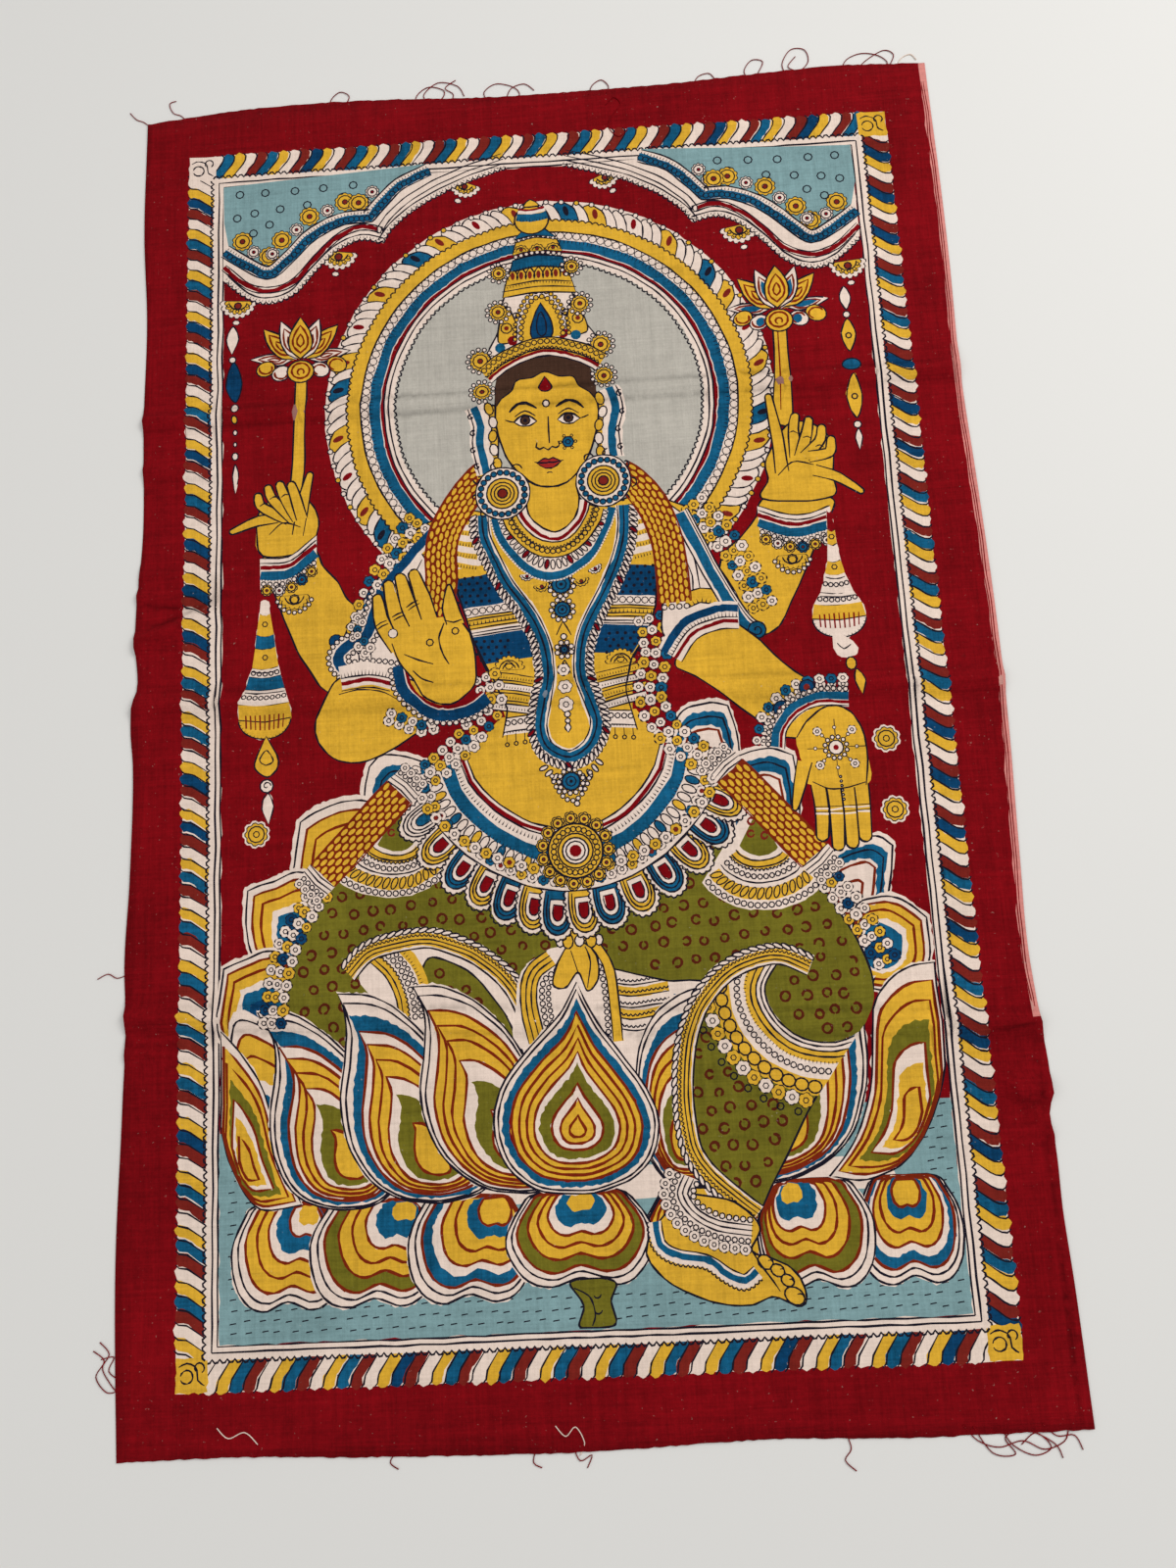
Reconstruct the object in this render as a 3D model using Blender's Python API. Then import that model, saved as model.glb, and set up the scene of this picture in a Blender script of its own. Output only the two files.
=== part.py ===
"""A kalamkari panel: one hand-cut length of plain-woven cotton that lies flat, with low folds across it.

The cloth was stored folded in quarters, so three soft ridges cross it from side to side, and short side
folds run in from its long edges. It is one closed sheet. Its underside rests on z = 0 and leaves it only
under the folds. +X runs along the panel's width, +Y towards the top of its picture and +Z up. The origin
is the centre of its underside's box.
"""

import math
from collections import namedtuple

import bmesh
import bpy
import numpy as np
from mathutils import Vector

MM = 0.001
THICKNESS = 1.2 * MM

# Half the cut width and half the cut length, before the unevenness of the hand-cut edges.
HALF_WIDTH = 289.5
HALF_LENGTH = 460.0

# Each cut edge is a smooth curve. "along" is where on the edge, "out" how far it stands from the middle of
# the panel, both in millimetres.
EdgePoint = namedtuple("EdgePoint", "along out")

LEFT_EDGE = (
    EdgePoint(-458, 291.0),
    EdgePoint(-400, 293.0),
    EdgePoint(-337, 294.0),
    EdgePoint(-252, 291.6),
    EdgePoint(-192, 290.5),
    EdgePoint(-167, 292.0),
    EdgePoint(-103, 289.5),
    EdgePoint(-28, 289.0),
    EdgePoint(4, 291.0),
    EdgePoint(25, 287.0),
    EdgePoint(57, 289.0),
    EdgePoint(140, 285.0),
    EdgePoint(222, 286.0),
    EdgePoint(302, 285.0),
    EdgePoint(368, 288.0),
    EdgePoint(462, 287.0),
)
RIGHT_EDGE = (
    EdgePoint(-459, 292.0),
    EdgePoint(-378, 290.4),
    EdgePoint(-338, 288.8),
    EdgePoint(-295, 288.8),
    EdgePoint(-284, 287.7),
    EdgePoint(-266, 290.5),
    EdgePoint(-222, 288.8),
    EdgePoint(-180, 286.7),
    EdgePoint(-124, 288.4),
    EdgePoint(-4, 292.0),
    EdgePoint(132, 290.0),
    EdgePoint(217, 287.6),
    EdgePoint(302, 289.3),
    EdgePoint(460, 288.5),
)
BOTTOM_EDGE = (
    EdgePoint(-291, 457.8),
    EdgePoint(-224, 456.8),
    EdgePoint(-143, 459.3),
    EdgePoint(0, 461.0),
    EdgePoint(101, 458.0),
    EdgePoint(176, 460.0),
    EdgePoint(292, 459.0),
)
TOP_EDGE = (
    EdgePoint(-287, 461.5),
    EdgePoint(-224, 467.0),
    EdgePoint(-110, 466.0),
    EdgePoint(-55, 462.0),
    EdgePoint(88, 459.5),
    EdgePoint(231, 462.6),
    EdgePoint(289, 459.5),
)

# Each fold is a soft ridge along a line between two points (x, y), in millimetres. It rises by three
# heights, at its start, middle and end, and is flat again half_width away from the line.
Fold = namedtuple("Fold", "start end start_rise middle_rise end_rise half_width")

STORAGE_FOLDS = (
    Fold((-292, -194), (291, -226), 4.5, 1.2, 4.0, 12),
    Fold((-291, 14), (292, -5), 4.5, 2.4, 4.0, 13),
    Fold((-287, 221), (289, 217), 3.2, 1.8, 3.2, 11),
)
SIDE_FOLDS = (
    Fold((-292, -215), (-236, -220), 2.4, 1.8, 0.0, 9),
    Fold((-296, 55), (-200, 86), 5.0, 3.6, 0.0, 10),
    Fold((-292, 91), (-238, 83), 2.6, 1.8, 0.0, 8),
    Fold((-290, 107), (-226, 104), 1.8, 1.2, 0.0, 9),
    Fold((-290, 183), (-226, 178), 2.4, 1.6, 0.0, 9),
    Fold((292, -267), (262, -261), 6.0, 4.6, 0.0, 12),
    Fold((292, -291), (250, -294), 3.0, 2.0, 0.0, 9),
    Fold((284, -288), (268, -263), 1.0, 2.4, 2.0, 8),
    Fold((291, 228), (268, 222), 2.4, 1.6, 0.0, 8),
)

# The sheet's mesh has columns closest together near the long edges, where the side folds are, and rows
# closest together across the folds.
ColumnBand = namedtuple("ColumnBand", "from_share to_share count")
RowBand = namedtuple("RowBand", "from_y to_y step")

COLUMN_BANDS = (
    ColumnBand(0.00, 0.16, 8),
    ColumnBand(0.16, 0.84, 11),
    ColumnBand(0.84, 1.00, 8),
)
ROW_BANDS = (
    RowBand(-460, -304, 26),
    RowBand(-304, -190, 5.7),
    RowBand(-190, -18, 24.6),
    RowBand(-18, 24, 5.25),
    RowBand(24, 115, 7),
    RowBand(115, 170, 18.4),
    RowBand(170, 206, 6),
    RowBand(206, 232, 5.2),
    RowBand(232, 460, 25.4),
)

# How much a row leans, y over x, where it follows each storage fold, and none at the cut ends.
RowLean = namedtuple("RowLean", "y lean")

ROW_LEANS = (
    RowLean(-460, 0.0),
    RowLean(-210, -0.055),
    RowLean(4.5, -0.033),
    RowLean(219, -0.007),
    RowLean(460, 0.0),
)

MADDER_RED = (0.27, 0.006, 0.011, 1.0)
CLOTH_ROUGHNESS = 0.92


def clear_scene():
    for obj in list(bpy.data.objects):
        bpy.data.objects.remove(obj)


def edge_out(edge, along):
    """How far the cut edge stands out at this place along it: a cubic through the edge's points."""
    places = [point.along for point in edge]
    outs = [point.out for point in edge]
    slopes = np.gradient(outs, places)
    along = min(max(along, places[0]), places[-1])
    last = len(places) - 2
    i = min(max(int(np.searchsorted(places, along)) - 1, 0), last)
    gap = places[i + 1] - places[i]
    t = (along - places[i]) / gap
    return (
        (2 * t**3 - 3 * t**2 + 1) * outs[i]
        + (t**3 - 2 * t**2 + t) * gap * slopes[i]
        + (3 * t**2 - 2 * t**3) * outs[i + 1]
        + (t**3 - t**2) * gap * slopes[i + 1]
    )


def fold_rise(fold, place):
    """The height of one fold at a place (x, y): a raised cosine across it, and a soft end past its tips."""
    start = Vector(fold.start)
    line = Vector(fold.end) - start
    offset = place - start
    share = min(max(offset.dot(line) / line.length_squared, 0.0), 1.0)
    distance = (offset - share * line).length
    if distance >= fold.half_width:
        return 0.0
    crest = np.interp(share, (0.0, 0.5, 1.0), (fold.start_rise, fold.middle_rise, fold.end_rise))
    return crest * (1 + math.cos(math.pi * distance / fold.half_width)) / 2


def column_shares():
    """Where the columns lie, as shares of the width from the left edge to the right one."""
    shares = [COLUMN_BANDS[0].from_share]
    for band in COLUMN_BANDS:
        shares.extend(np.linspace(band.from_share, band.to_share, band.count + 1)[1:])
    return shares


def row_middles():
    """The y at which each row crosses the panel's middle, from the bottom up."""
    middles = [ROW_BANDS[0].from_y]
    for band in ROW_BANDS:
        count = round((band.to_y - band.from_y) / band.step)
        middles.extend(np.linspace(band.from_y, band.to_y, count + 1)[1:])
    return middles


def sheet_point(share, middle):
    """The underside's point in a column and a row, in millimetres, with the folds' height."""
    x = (2 * share - 1) * HALF_WIDTH
    y = middle + x * np.interp(middle, [row.y for row in ROW_LEANS], [row.lean for row in ROW_LEANS])
    top = edge_out(TOP_EDGE, x)
    bottom = edge_out(BOTTOM_EDGE, x)
    y *= top / HALF_LENGTH if y > 0 else bottom / HALF_LENGTH
    right = edge_out(RIGHT_EDGE, y)
    left = edge_out(LEFT_EDGE, y)
    x *= right / HALF_WIDTH if x > 0 else left / HALF_WIDTH
    place = Vector((x, y))
    rise = sum(fold_rise(fold, place) for fold in STORAGE_FOLDS + SIDE_FOLDS)
    return Vector((x, y, rise))


def sheet_mesh():
    """The underside as a triangle mesh, facing up, centred on its own box."""
    shares = column_shares()
    middles = row_middles()
    points = [[sheet_point(share, middle) * MM for share in shares] for middle in middles]
    every = [point for row in points for point in row]
    centre = Vector(
        (
            (min(p.x for p in every) + max(p.x for p in every)) / 2,
            (min(p.y for p in every) + max(p.y for p in every)) / 2,
            0.0,
        )
    )
    sheet = bmesh.new()
    verts = [[sheet.verts.new(point - centre) for point in row] for row in points]
    for lower, upper in zip(verts, verts[1:]):
        for i in range(len(shares) - 1):
            sheet.faces.new((lower[i], lower[i + 1], upper[i + 1], upper[i]))
    bmesh.ops.triangulate(sheet, faces=sheet.faces[:], quad_method="FIXED")
    mesh = bpy.data.meshes.new("panel_cloth")
    sheet.to_mesh(mesh)
    sheet.free()
    mesh.shade_smooth()
    return mesh


def cotton_material():
    material = bpy.data.materials.new("madder_dyed_cotton")
    material.use_nodes = True
    shader = material.node_tree.nodes["Principled BSDF"]
    shader.inputs["Base Color"].default_value = MADDER_RED
    shader.inputs["Roughness"].default_value = CLOTH_ROUGHNESS
    shader.inputs["Metallic"].default_value = 0.0
    return material


def make_panel():
    panel = bpy.data.objects.new("panel_cloth", sheet_mesh())
    bpy.context.scene.collection.objects.link(panel)
    panel.data.materials.append(cotton_material())
    body = panel.modifiers.new("cloth_thickness", "SOLIDIFY")
    body.thickness = THICKNESS
    body.offset = 1.0
    body.use_rim = True


clear_scene()
make_panel()
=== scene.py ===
"""A kalamkari panel: hand-painted cotton lying flat, with its frayed ends.

The painted design is laid out in millimetres on the flat cloth, +X to the right and +Y to the top, with
the origin at the middle of the cut length. Shapes of dye are listed in the order in which they are
painted. They are cut into triangles for the face, and the larger ones again for the back, and both are
laid over the cloth's folds as one closed sheet. Each dye is a material.
"""

import math
from collections import namedtuple

import bpy
import numpy as np
from mathutils import Matrix, Vector
from mathutils.bvhtree import BVHTree
from mathutils.geometry import delaunay_2d_cdt


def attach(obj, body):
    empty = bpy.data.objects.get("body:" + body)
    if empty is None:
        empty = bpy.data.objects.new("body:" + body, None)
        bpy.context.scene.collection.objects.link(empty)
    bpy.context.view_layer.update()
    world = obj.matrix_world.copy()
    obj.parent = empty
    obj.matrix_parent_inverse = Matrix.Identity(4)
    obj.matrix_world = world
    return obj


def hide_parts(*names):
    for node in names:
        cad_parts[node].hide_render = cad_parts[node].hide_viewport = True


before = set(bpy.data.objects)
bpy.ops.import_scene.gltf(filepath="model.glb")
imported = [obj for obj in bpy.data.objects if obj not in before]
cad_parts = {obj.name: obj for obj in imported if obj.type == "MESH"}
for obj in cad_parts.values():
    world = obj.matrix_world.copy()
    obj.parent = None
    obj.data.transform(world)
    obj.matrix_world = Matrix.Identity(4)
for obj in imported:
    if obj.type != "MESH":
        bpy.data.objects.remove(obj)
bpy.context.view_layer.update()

MM = 0.001

# ---------------------------------------------------------------------------------------------------
# The cloth's outline and folds, as in the CAD model, in millimetres
# ---------------------------------------------------------------------------------------------------

HALF_WIDTH = 289.5
CLOTH_THICKNESS = 0.6
UNDERSIDE_RISE = 0.88  # the underside rises less than the face, so that their facets never cross

EdgePoint = namedtuple("EdgePoint", "along out")

LEFT_EDGE = (
    EdgePoint(-458, 291.0),
    EdgePoint(-400, 293.0),
    EdgePoint(-337, 294.0),
    EdgePoint(-252, 291.6),
    EdgePoint(-192, 290.5),
    EdgePoint(-167, 292.0),
    EdgePoint(-103, 289.5),
    EdgePoint(-28, 289.0),
    EdgePoint(4, 291.0),
    EdgePoint(25, 287.0),
    EdgePoint(57, 289.0),
    EdgePoint(140, 285.0),
    EdgePoint(222, 286.0),
    EdgePoint(302, 285.0),
    EdgePoint(368, 288.0),
    EdgePoint(462, 287.0),
)
RIGHT_EDGE = (
    EdgePoint(-459, 292.0),
    EdgePoint(-378, 290.4),
    EdgePoint(-338, 288.8),
    EdgePoint(-295, 288.8),
    EdgePoint(-284, 287.7),
    EdgePoint(-266, 290.5),
    EdgePoint(-222, 288.8),
    EdgePoint(-180, 286.7),
    EdgePoint(-124, 288.4),
    EdgePoint(-4, 292.0),
    EdgePoint(132, 290.0),
    EdgePoint(217, 287.6),
    EdgePoint(302, 289.3),
    EdgePoint(460, 288.5),
)
BOTTOM_EDGE = (
    EdgePoint(-291, 457.8),
    EdgePoint(-224, 456.8),
    EdgePoint(-143, 459.3),
    EdgePoint(0, 461.0),
    EdgePoint(101, 458.0),
    EdgePoint(176, 460.0),
    EdgePoint(292, 459.0),
)
TOP_EDGE = (
    EdgePoint(-287, 461.5),
    EdgePoint(-224, 467.0),
    EdgePoint(-110, 466.0),
    EdgePoint(-55, 462.0),
    EdgePoint(88, 459.5),
    EdgePoint(231, 462.6),
    EdgePoint(289, 459.5),
)

Fold = namedtuple("Fold", "start end start_rise middle_rise end_rise half_width")

FOLDS = (
    Fold((-292, -194), (291, -226), 4.5, 1.2, 4.0, 12),
    Fold((-291, 14), (292, -5), 4.5, 2.4, 4.0, 13),
    Fold((-287, 221), (289, 217), 3.2, 1.8, 3.2, 11),
    Fold((-292, -215), (-236, -220), 2.4, 1.8, 0.0, 9),
    Fold((-296, 55), (-200, 86), 5.0, 3.6, 0.0, 10),
    Fold((-292, 91), (-238, 83), 2.6, 1.8, 0.0, 8),
    Fold((-290, 107), (-226, 104), 1.8, 1.2, 0.0, 9),
    Fold((-290, 183), (-226, 178), 2.4, 1.6, 0.0, 9),
    Fold((292, -267), (262, -261), 6.0, 4.6, 0.0, 12),
    Fold((292, -291), (250, -294), 3.0, 2.0, 0.0, 9),
    Fold((284, -288), (268, -263), 1.0, 2.4, 2.0, 8),
    Fold((291, 228), (268, 222), 2.4, 1.6, 0.0, 8),
)


# Fine creases pressed into the cloth: narrow troughs, or crests where the rise is positive, along which
# shade is painted into the cloth's colour, darker by a shade from 0 to 1.
Crease = namedtuple("Crease", "start end rise shade")

CREASES = (
    Crease((-287, 227), (289, 224), -0.35, 0.9),
    Crease((-287, 214), (289, 211), -0.30, 0.7),
    Crease((-291, 22), (292, 3), -0.30, 0.6),
    Crease((-291, 6), (292, -13), -0.30, 0.5),
    Crease((-292, -186), (290, -218), -0.30, 0.6),
    Crease((-292, -202), (290, -234), -0.25, 0.5),
    Crease((-291, -211), (-244, -214), -0.40, 0.9),
    Crease((-290, 62), (-222, 90), -0.50, 0.9),
    Crease((-289, 86), (-240, 78), -0.40, 0.7),
    Crease((-286, 176), (-232, 172), -0.30, 0.6),
    Crease((252, -231), (290, -224), 0.50, 0.9),
    Crease((254, -286), (290, -285), -0.50, 0.8),
    Crease((262, -270), (290, -276), -0.50, 0.9),
    Crease((284, -228), (285, -452), -0.40, 0.9),
    Crease((-152, 214), (-120, 150), -0.15, 0.3),
    Crease((74, 318), (122, 296), -0.15, 0.3),
    Crease((-262, 330), (-250, 120), -0.15, 0.4),
)
CREASE_REACH = 1.5  # how far a crease's trough and shade reach to each side


def cut_edge(edge, at):
    """How far a cut edge stands out at each place along it: a cubic through the edge's points."""
    places, outs = np.array(edge, float).T
    slopes = np.gradient(outs, places)
    at = np.clip(at, places[0], places[-1])
    i = np.clip(np.searchsorted(places, at) - 1, 0, len(places) - 2)
    gap = places[i + 1] - places[i]
    t = (at - places[i]) / gap
    return (
        (2 * t**3 - 3 * t**2 + 1) * outs[i]
        + (t**3 - 2 * t**2 + t) * gap * slopes[i]
        + (3 * t**2 - 2 * t**3) * outs[i + 1]
        + (t**3 - t**2) * gap * slopes[i + 1]
    )


def from_line(x, y, line):
    """How far along a fold or crease the points lie, from 0 to 1, and how far from it."""
    start = np.array(line.start, float)
    run = np.array(line.end, float) - start
    share = ((x - start[0]) * run[0] + (y - start[1]) * run[1]) / (run @ run)
    share = np.clip(share, 0, 1)
    return share, np.hypot(x - start[0] - share * run[0], y - start[1] - share * run[1])


def crease_profile(x, y, crease):
    """A crease's depth across it and along it: 1 on its line, and fading at its ends and in places."""
    share, distance = from_line(x, y, crease)
    fade = np.clip(4 * share * (1 - share), 0, 1) ** 0.3 * (0.72 + 0.28 * np.sin(x / 19 + y / 31))
    return fade * np.exp(-((distance / CREASE_REACH) ** 2))


def crease_painted_shade(x, y):
    """How much painted shade darkens the cloth's colour along its creases, from 0 to 1."""
    return np.max([crease.shade * crease_profile(x, y, crease) for crease in CREASES], axis=0)


def cloth_height(x, y):
    """The cloth's rise over its folds, with a crest sharper than the CAD model's, its creases and ripples."""
    total = np.zeros_like(x)
    for fold in FOLDS:
        share, distance = from_line(x, y, fold)
        rise = np.interp(share, (0, 0.5, 1), (fold.start_rise, fold.middle_rise, fold.end_rise))
        wide = (1 + np.cos(np.pi * np.clip(distance / fold.half_width, 0, 1))) / 2
        narrow = (1 + np.cos(np.pi * np.clip(distance / (0.3 * fold.half_width), 0, 1))) / 2
        total += rise * (0.75 * wide + 0.25 * narrow)
    for crease in CREASES:
        total += crease.rise * crease_profile(x, y, crease)
    ripples = np.sin(x / 23 + 1.3 * np.sin(y / 61)) * np.sin(y / 37 + np.sin(x / 52))
    return np.maximum(total + 0.35 * (1 + ripples), 0)


# ---------------------------------------------------------------------------------------------------
# The dyes: a colour, how much its strength varies from place to place, and a roughness
# ---------------------------------------------------------------------------------------------------

Dye = namedtuple("Dye", "colour mottle roughness")

DYES = {
    "madder": Dye((0.186, 0.0022, 0.0048), 0.30, 0.94),
    "mustard": Dye((0.660, 0.365, 0.030), 0.20, 0.90),
    "blue": Dye((0.006, 0.086, 0.172), 0.46, 0.92),
    "indigo": Dye((0.003, 0.043, 0.112), 0.42, 0.90),
    "sky": Dye((0.190, 0.305, 0.310), 0.20, 0.92),
    "grey": Dye((0.440, 0.405, 0.345), 0.14, 0.92),
    "olive": Dye((0.145, 0.125, 0.012), 0.28, 0.92),
    "cream": Dye((0.760, 0.605, 0.505), 0.12, 0.92),
    "brown": Dye((0.178, 0.015, 0.010), 0.24, 0.92),
    "rust": Dye((0.178, 0.017, 0.004), 0.24, 0.92),
    "umber": Dye((0.085, 0.013, 0.005), 0.24, 0.92),
    "ink": Dye((0.010, 0.008, 0.016), 0.30, 0.90),
    "hair": Dye((0.055, 0.025, 0.015), 0.25, 0.92),
    "lip": Dye((0.330, 0.020, 0.016), 0.14, 0.92),
    "selvedge": Dye((0.600, 0.220, 0.190), 0.20, 0.92),
}
DYE_NAMES = list(DYES)

# ---------------------------------------------------------------------------------------------------
# Paths and outlines, all in millimetres on the flat cloth
# ---------------------------------------------------------------------------------------------------

rng = np.random.default_rng(7)


def waves(count, shortest, longest):
    """Directions, lengths and phases of a few waves, for a wandering hand."""
    turn = rng.uniform(0, 2 * math.pi, count)
    k = 2 * math.pi / rng.uniform(shortest, longest, count)
    return np.stack([k * np.cos(turn), k * np.sin(turn), rng.uniform(0, 2 * math.pi, count)])


PEN_WAVES = [waves(5, 22, 60), waves(5, 22, 60)]
WASH_WAVES = [waves(5, 18, 50), waves(5, 18, 50)]
EDGE_WAVES = [waves(7, 3.2, 8), waves(7, 3.2, 8)]


def wander(points, wave_pair, amount):
    """Points moved by a smooth field, up to about amount."""
    moved = points.copy()
    for axis, (kx, ky, phase) in enumerate(wave_pair):
        field = np.sin(points[:, :1] * kx + points[:, 1:] * ky + phase).sum(1)
        moved[:, axis] += field * amount / len(kx) ** 0.5
    return moved


def smooth(points, closed=False, step=1.5):
    """A Catmull-Rom curve through points. A point given twice is a corner."""
    given = np.array(points, float)
    if closed:
        padded = np.vstack([given[-1:], given, given[:2]])
    else:
        padded = np.vstack([given[:1], given, given[-1:]])
    curve = []
    for i in range(len(padded) - 3):
        a, b, c, d = padded[i : i + 4]
        length = np.hypot(*(c - b))
        if length < 1e-6:
            continue
        t = np.arange(0, 1, 1 / max(2, math.ceil(length / step)))[:, None]
        curve.append(
            0.5 * (2 * b + (c - a) * t + (2 * a - 5 * b + 4 * c - d) * t**2 + (3 * b - a - 3 * c + d) * t**3)
        )
    if not closed:
        curve.append(given[-1:])
    return np.vstack(curve)


def straight(points, closed=False, step=3.0):
    """Straight lines through points, with points between them."""
    given = np.array(points, float)
    if closed:
        given = np.vstack([given, given[:1]])
    runs = []
    for a, b in zip(given, given[1:]):
        t = np.arange(0, 1, 1 / max(1, math.ceil(np.hypot(*(b - a)) / step)))[:, None]
        runs.append(a + (b - a) * t)
    if not closed:
        runs.append(given[-1:])
    return np.vstack(runs)


def arc(x, y, radius, start, end, flat=1.0):
    """An arc from one angle to another, in degrees. flat squashes it along Y."""
    count = max(5, math.ceil(abs(math.radians(end - start)) * radius / 1.8) + 1)
    turn = np.radians(np.linspace(start, end, count))
    return np.stack([x + radius * np.cos(turn), y + radius * flat * np.sin(turn)], axis=1)


def placed(points, x, y, turn, size=1.0):
    """A motif's points turned by an angle in degrees, sized, and moved to (x, y)."""
    local = np.array(points, float) * size
    c, s = math.cos(math.radians(turn)), math.sin(math.radians(turn))
    return local @ np.array([[c, s], [-s, c]]) + (x, y)


def mirrored(points, axis):
    return [(2 * axis - x, y) for x, y in points]


def directions(path):
    """The unit direction of travel at each of a path's points."""
    step = np.gradient(path, axis=0)
    return step / np.maximum(np.hypot(step[:, 0], step[:, 1]), 1e-9)[:, None]


def beside(path, distance):
    """The path moved to its left by a distance, or to its right by a negative one."""
    along = directions(path)
    return path + distance * np.stack([-along[:, 1], along[:, 0]], axis=1)


def spaced(path, pitch):
    """Places (x, y, angle in degrees) along a path, a pitch apart."""
    steps = np.hypot(*np.diff(path, axis=0).T)
    length = np.concatenate([[0], np.cumsum(steps)])
    count = max(1, round(length[-1] / pitch))
    at = (np.arange(count) + 0.5) * length[-1] / count
    along = directions(path)
    xs, ys = np.interp(at, length, path[:, 0]), np.interp(at, length, path[:, 1])
    us, vs = np.interp(at, length, along[:, 0]), np.interp(at, length, along[:, 1])
    return list(zip(xs, ys, np.degrees(np.arctan2(vs, us))))


def thinned(path, slack, closed=False, reach=math.inf):
    """The path without the points that lie within slack of the line between those kept.

    A line longer than reach keeps a point near its middle, where it has one.
    """
    if closed:
        path = np.vstack([path, path[:1]])
    keep = np.zeros(len(path), bool)
    keep[0] = keep[-1] = True
    if closed:
        keep[len(path) // 3] = keep[2 * len(path) // 3] = True
    stops = list(np.flatnonzero(keep))
    spans = list(zip(stops, stops[1:]))
    while spans:
        i, j = spans.pop()
        if j - i < 2:
            continue
        a, b = path[i], path[j]
        line = b - a
        off = path[i + 1 : j] - a
        span = max(np.hypot(*line), 1e-9)
        far = np.abs(off[:, 0] * line[1] - off[:, 1] * line[0]) / span
        k = int(far.argmax())
        if far[k] <= slack and span > reach:
            k = (j - i) // 2 - 1
        if far[k] > slack or span > reach:
            keep[i + 1 + k] = True
            spans += [(i, i + 1 + k), (i + 1 + k, j)]
    kept = path[keep]
    return kept[:-1] if closed else kept


# ---------------------------------------------------------------------------------------------------
# The painting: shapes of dye in the order they are laid
# ---------------------------------------------------------------------------------------------------


class Painting:
    """Faces of dye on the flat cloth. A later face covers an earlier one."""

    def __init__(self):
        self.points = []
        self.faces = []
        self.dyes = []
        self.soaks = []

    def lay(self, dye, points, faces, soaks=False):
        first = len(self.points)
        self.points.extend(points)
        self.faces.extend([first + i for i in face] for face in faces)
        self.dyes.extend([dye] * len(faces))
        self.soaks.extend([soaks] * len(faces))


art = Painting()

PEN_WIDTH = 0.95
RUST_WIDTH = 1.3
INK_WEIGHT = 1.28  # the bamboo pen's thickness over the widths given below
SOAK_AREA = 1800.0  # square millimetres: a larger shape shows on the cloth's back


def signed_area(points):
    x, y = points[:, 0], points[:, 1]
    return 0.5 * float(np.sum(x * np.roll(y, -1) - y * np.roll(x, -1)))


def shape(dye, points):
    """One flat shape, exactly as given."""
    points = np.array(points, float)
    area = signed_area(points)
    if area < 0:
        points = points[::-1]
    art.lay(dye, points, [range(len(points))], abs(area) > SOAK_AREA)


def wash(dye, outline, rough=0.22, shift=0.35):
    """A shape filled with a brush: its edge wanders, and is a little ragged."""
    points = wander(np.array(outline, float), WASH_WAVES, shift)
    points = wander(points, EDGE_WAVES, rough)
    shape(dye, thinned(points, 0.12, closed=True))


def ribbon(dye, path, widths, closed=False):
    """A line with a width at each point, as a chain of four-sided faces."""
    turns = np.roll(path, -1, 0) - np.roll(path, 1, 0) if closed else np.gradient(path, axis=0)
    turns = turns / np.maximum(np.hypot(*turns.T), 1e-9)[:, None]
    side = np.stack([-turns[:, 1], turns[:, 0]], axis=1) * (np.array(widths) / 2)[:, None]
    left, right = path + side, path - side
    count = len(path)
    points, faces = list(right) + list(left), []
    for i in range(count if closed else count - 1):
        j = (i + 1) % count
        ahead = path[j] - path[i]
        if (left[j] - left[i]) @ ahead <= 0:
            faces.append((i, j, count + i))
        elif (right[j] - right[i]) @ ahead <= 0:
            faces.append((i, count + j, count + i))
        else:
            faces.append((i, j, count + j, count + i))
    art.lay(dye, points, faces)


def pen(path, width=PEN_WIDTH, dye="ink", closed=False, slack=0.09):
    """A drawn line, a little thicker and thinner along its length and tapered at its ends."""
    path = thinned(wander(np.array(path, float), PEN_WAVES, 0.25), slack, closed)
    widths = width * INK_WEIGHT * (1 + 0.2 * np.sin(path[:, 0] * 0.9 + path[:, 1] * 1.3))
    if not closed:
        widths[0] *= 0.6
        widths[-1] *= 0.6
    ribbon(dye, path, widths, closed)


def rust(path, width=RUST_WIDTH, closed=False):
    pen(path, width, "rust", closed, slack=0.14)


def outlined(dye, outline, width=PEN_WIDTH):
    wash(dye, outline)
    pen(outline, width, closed=True)


def stripe(dye, path, start, end):
    """A band of dye along a path, between two distances to its left."""
    wash(dye, np.vstack([beside(path, start), beside(path, end)[::-1]]))


def disc(dye, x, y, radius, flat=1.0, turn=0.0):
    sides = min(24, max(6, round(4.3 + 1.3 * radius)))
    around = np.radians(turn) + 2 * math.pi * np.arange(sides) / sides
    spin = np.radians(turn)
    u, v = radius * np.cos(around), radius * flat * np.sin(around)
    c, s = math.cos(spin), math.sin(spin)
    shape(dye, np.stack([x + u * c - v * s, y + u * s + v * c], axis=1))


def ring(dye, x, y, radius, width=0.9):
    sides = min(20, max(6, round(4.3 + 1.2 * radius)))
    turn = 2 * math.pi * np.arange(sides) / sides
    path = np.stack([x + radius * np.cos(turn), y + radius * np.sin(turn)], axis=1)
    ribbon(dye, path, np.full(sides, width * INK_WEIGHT), closed=True)


def spot(x, y, radius, dye="cream", line=0.75, flat=1.0, turn=0.0):
    """A small inked circle or oval filled with dye."""
    disc("ink", x, y, radius, flat, turn)
    inner = radius - line * INK_WEIGHT
    disc(dye, x, y, inner, max(0.2, (radius * flat - line * INK_WEIGHT) / inner), turn)


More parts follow.
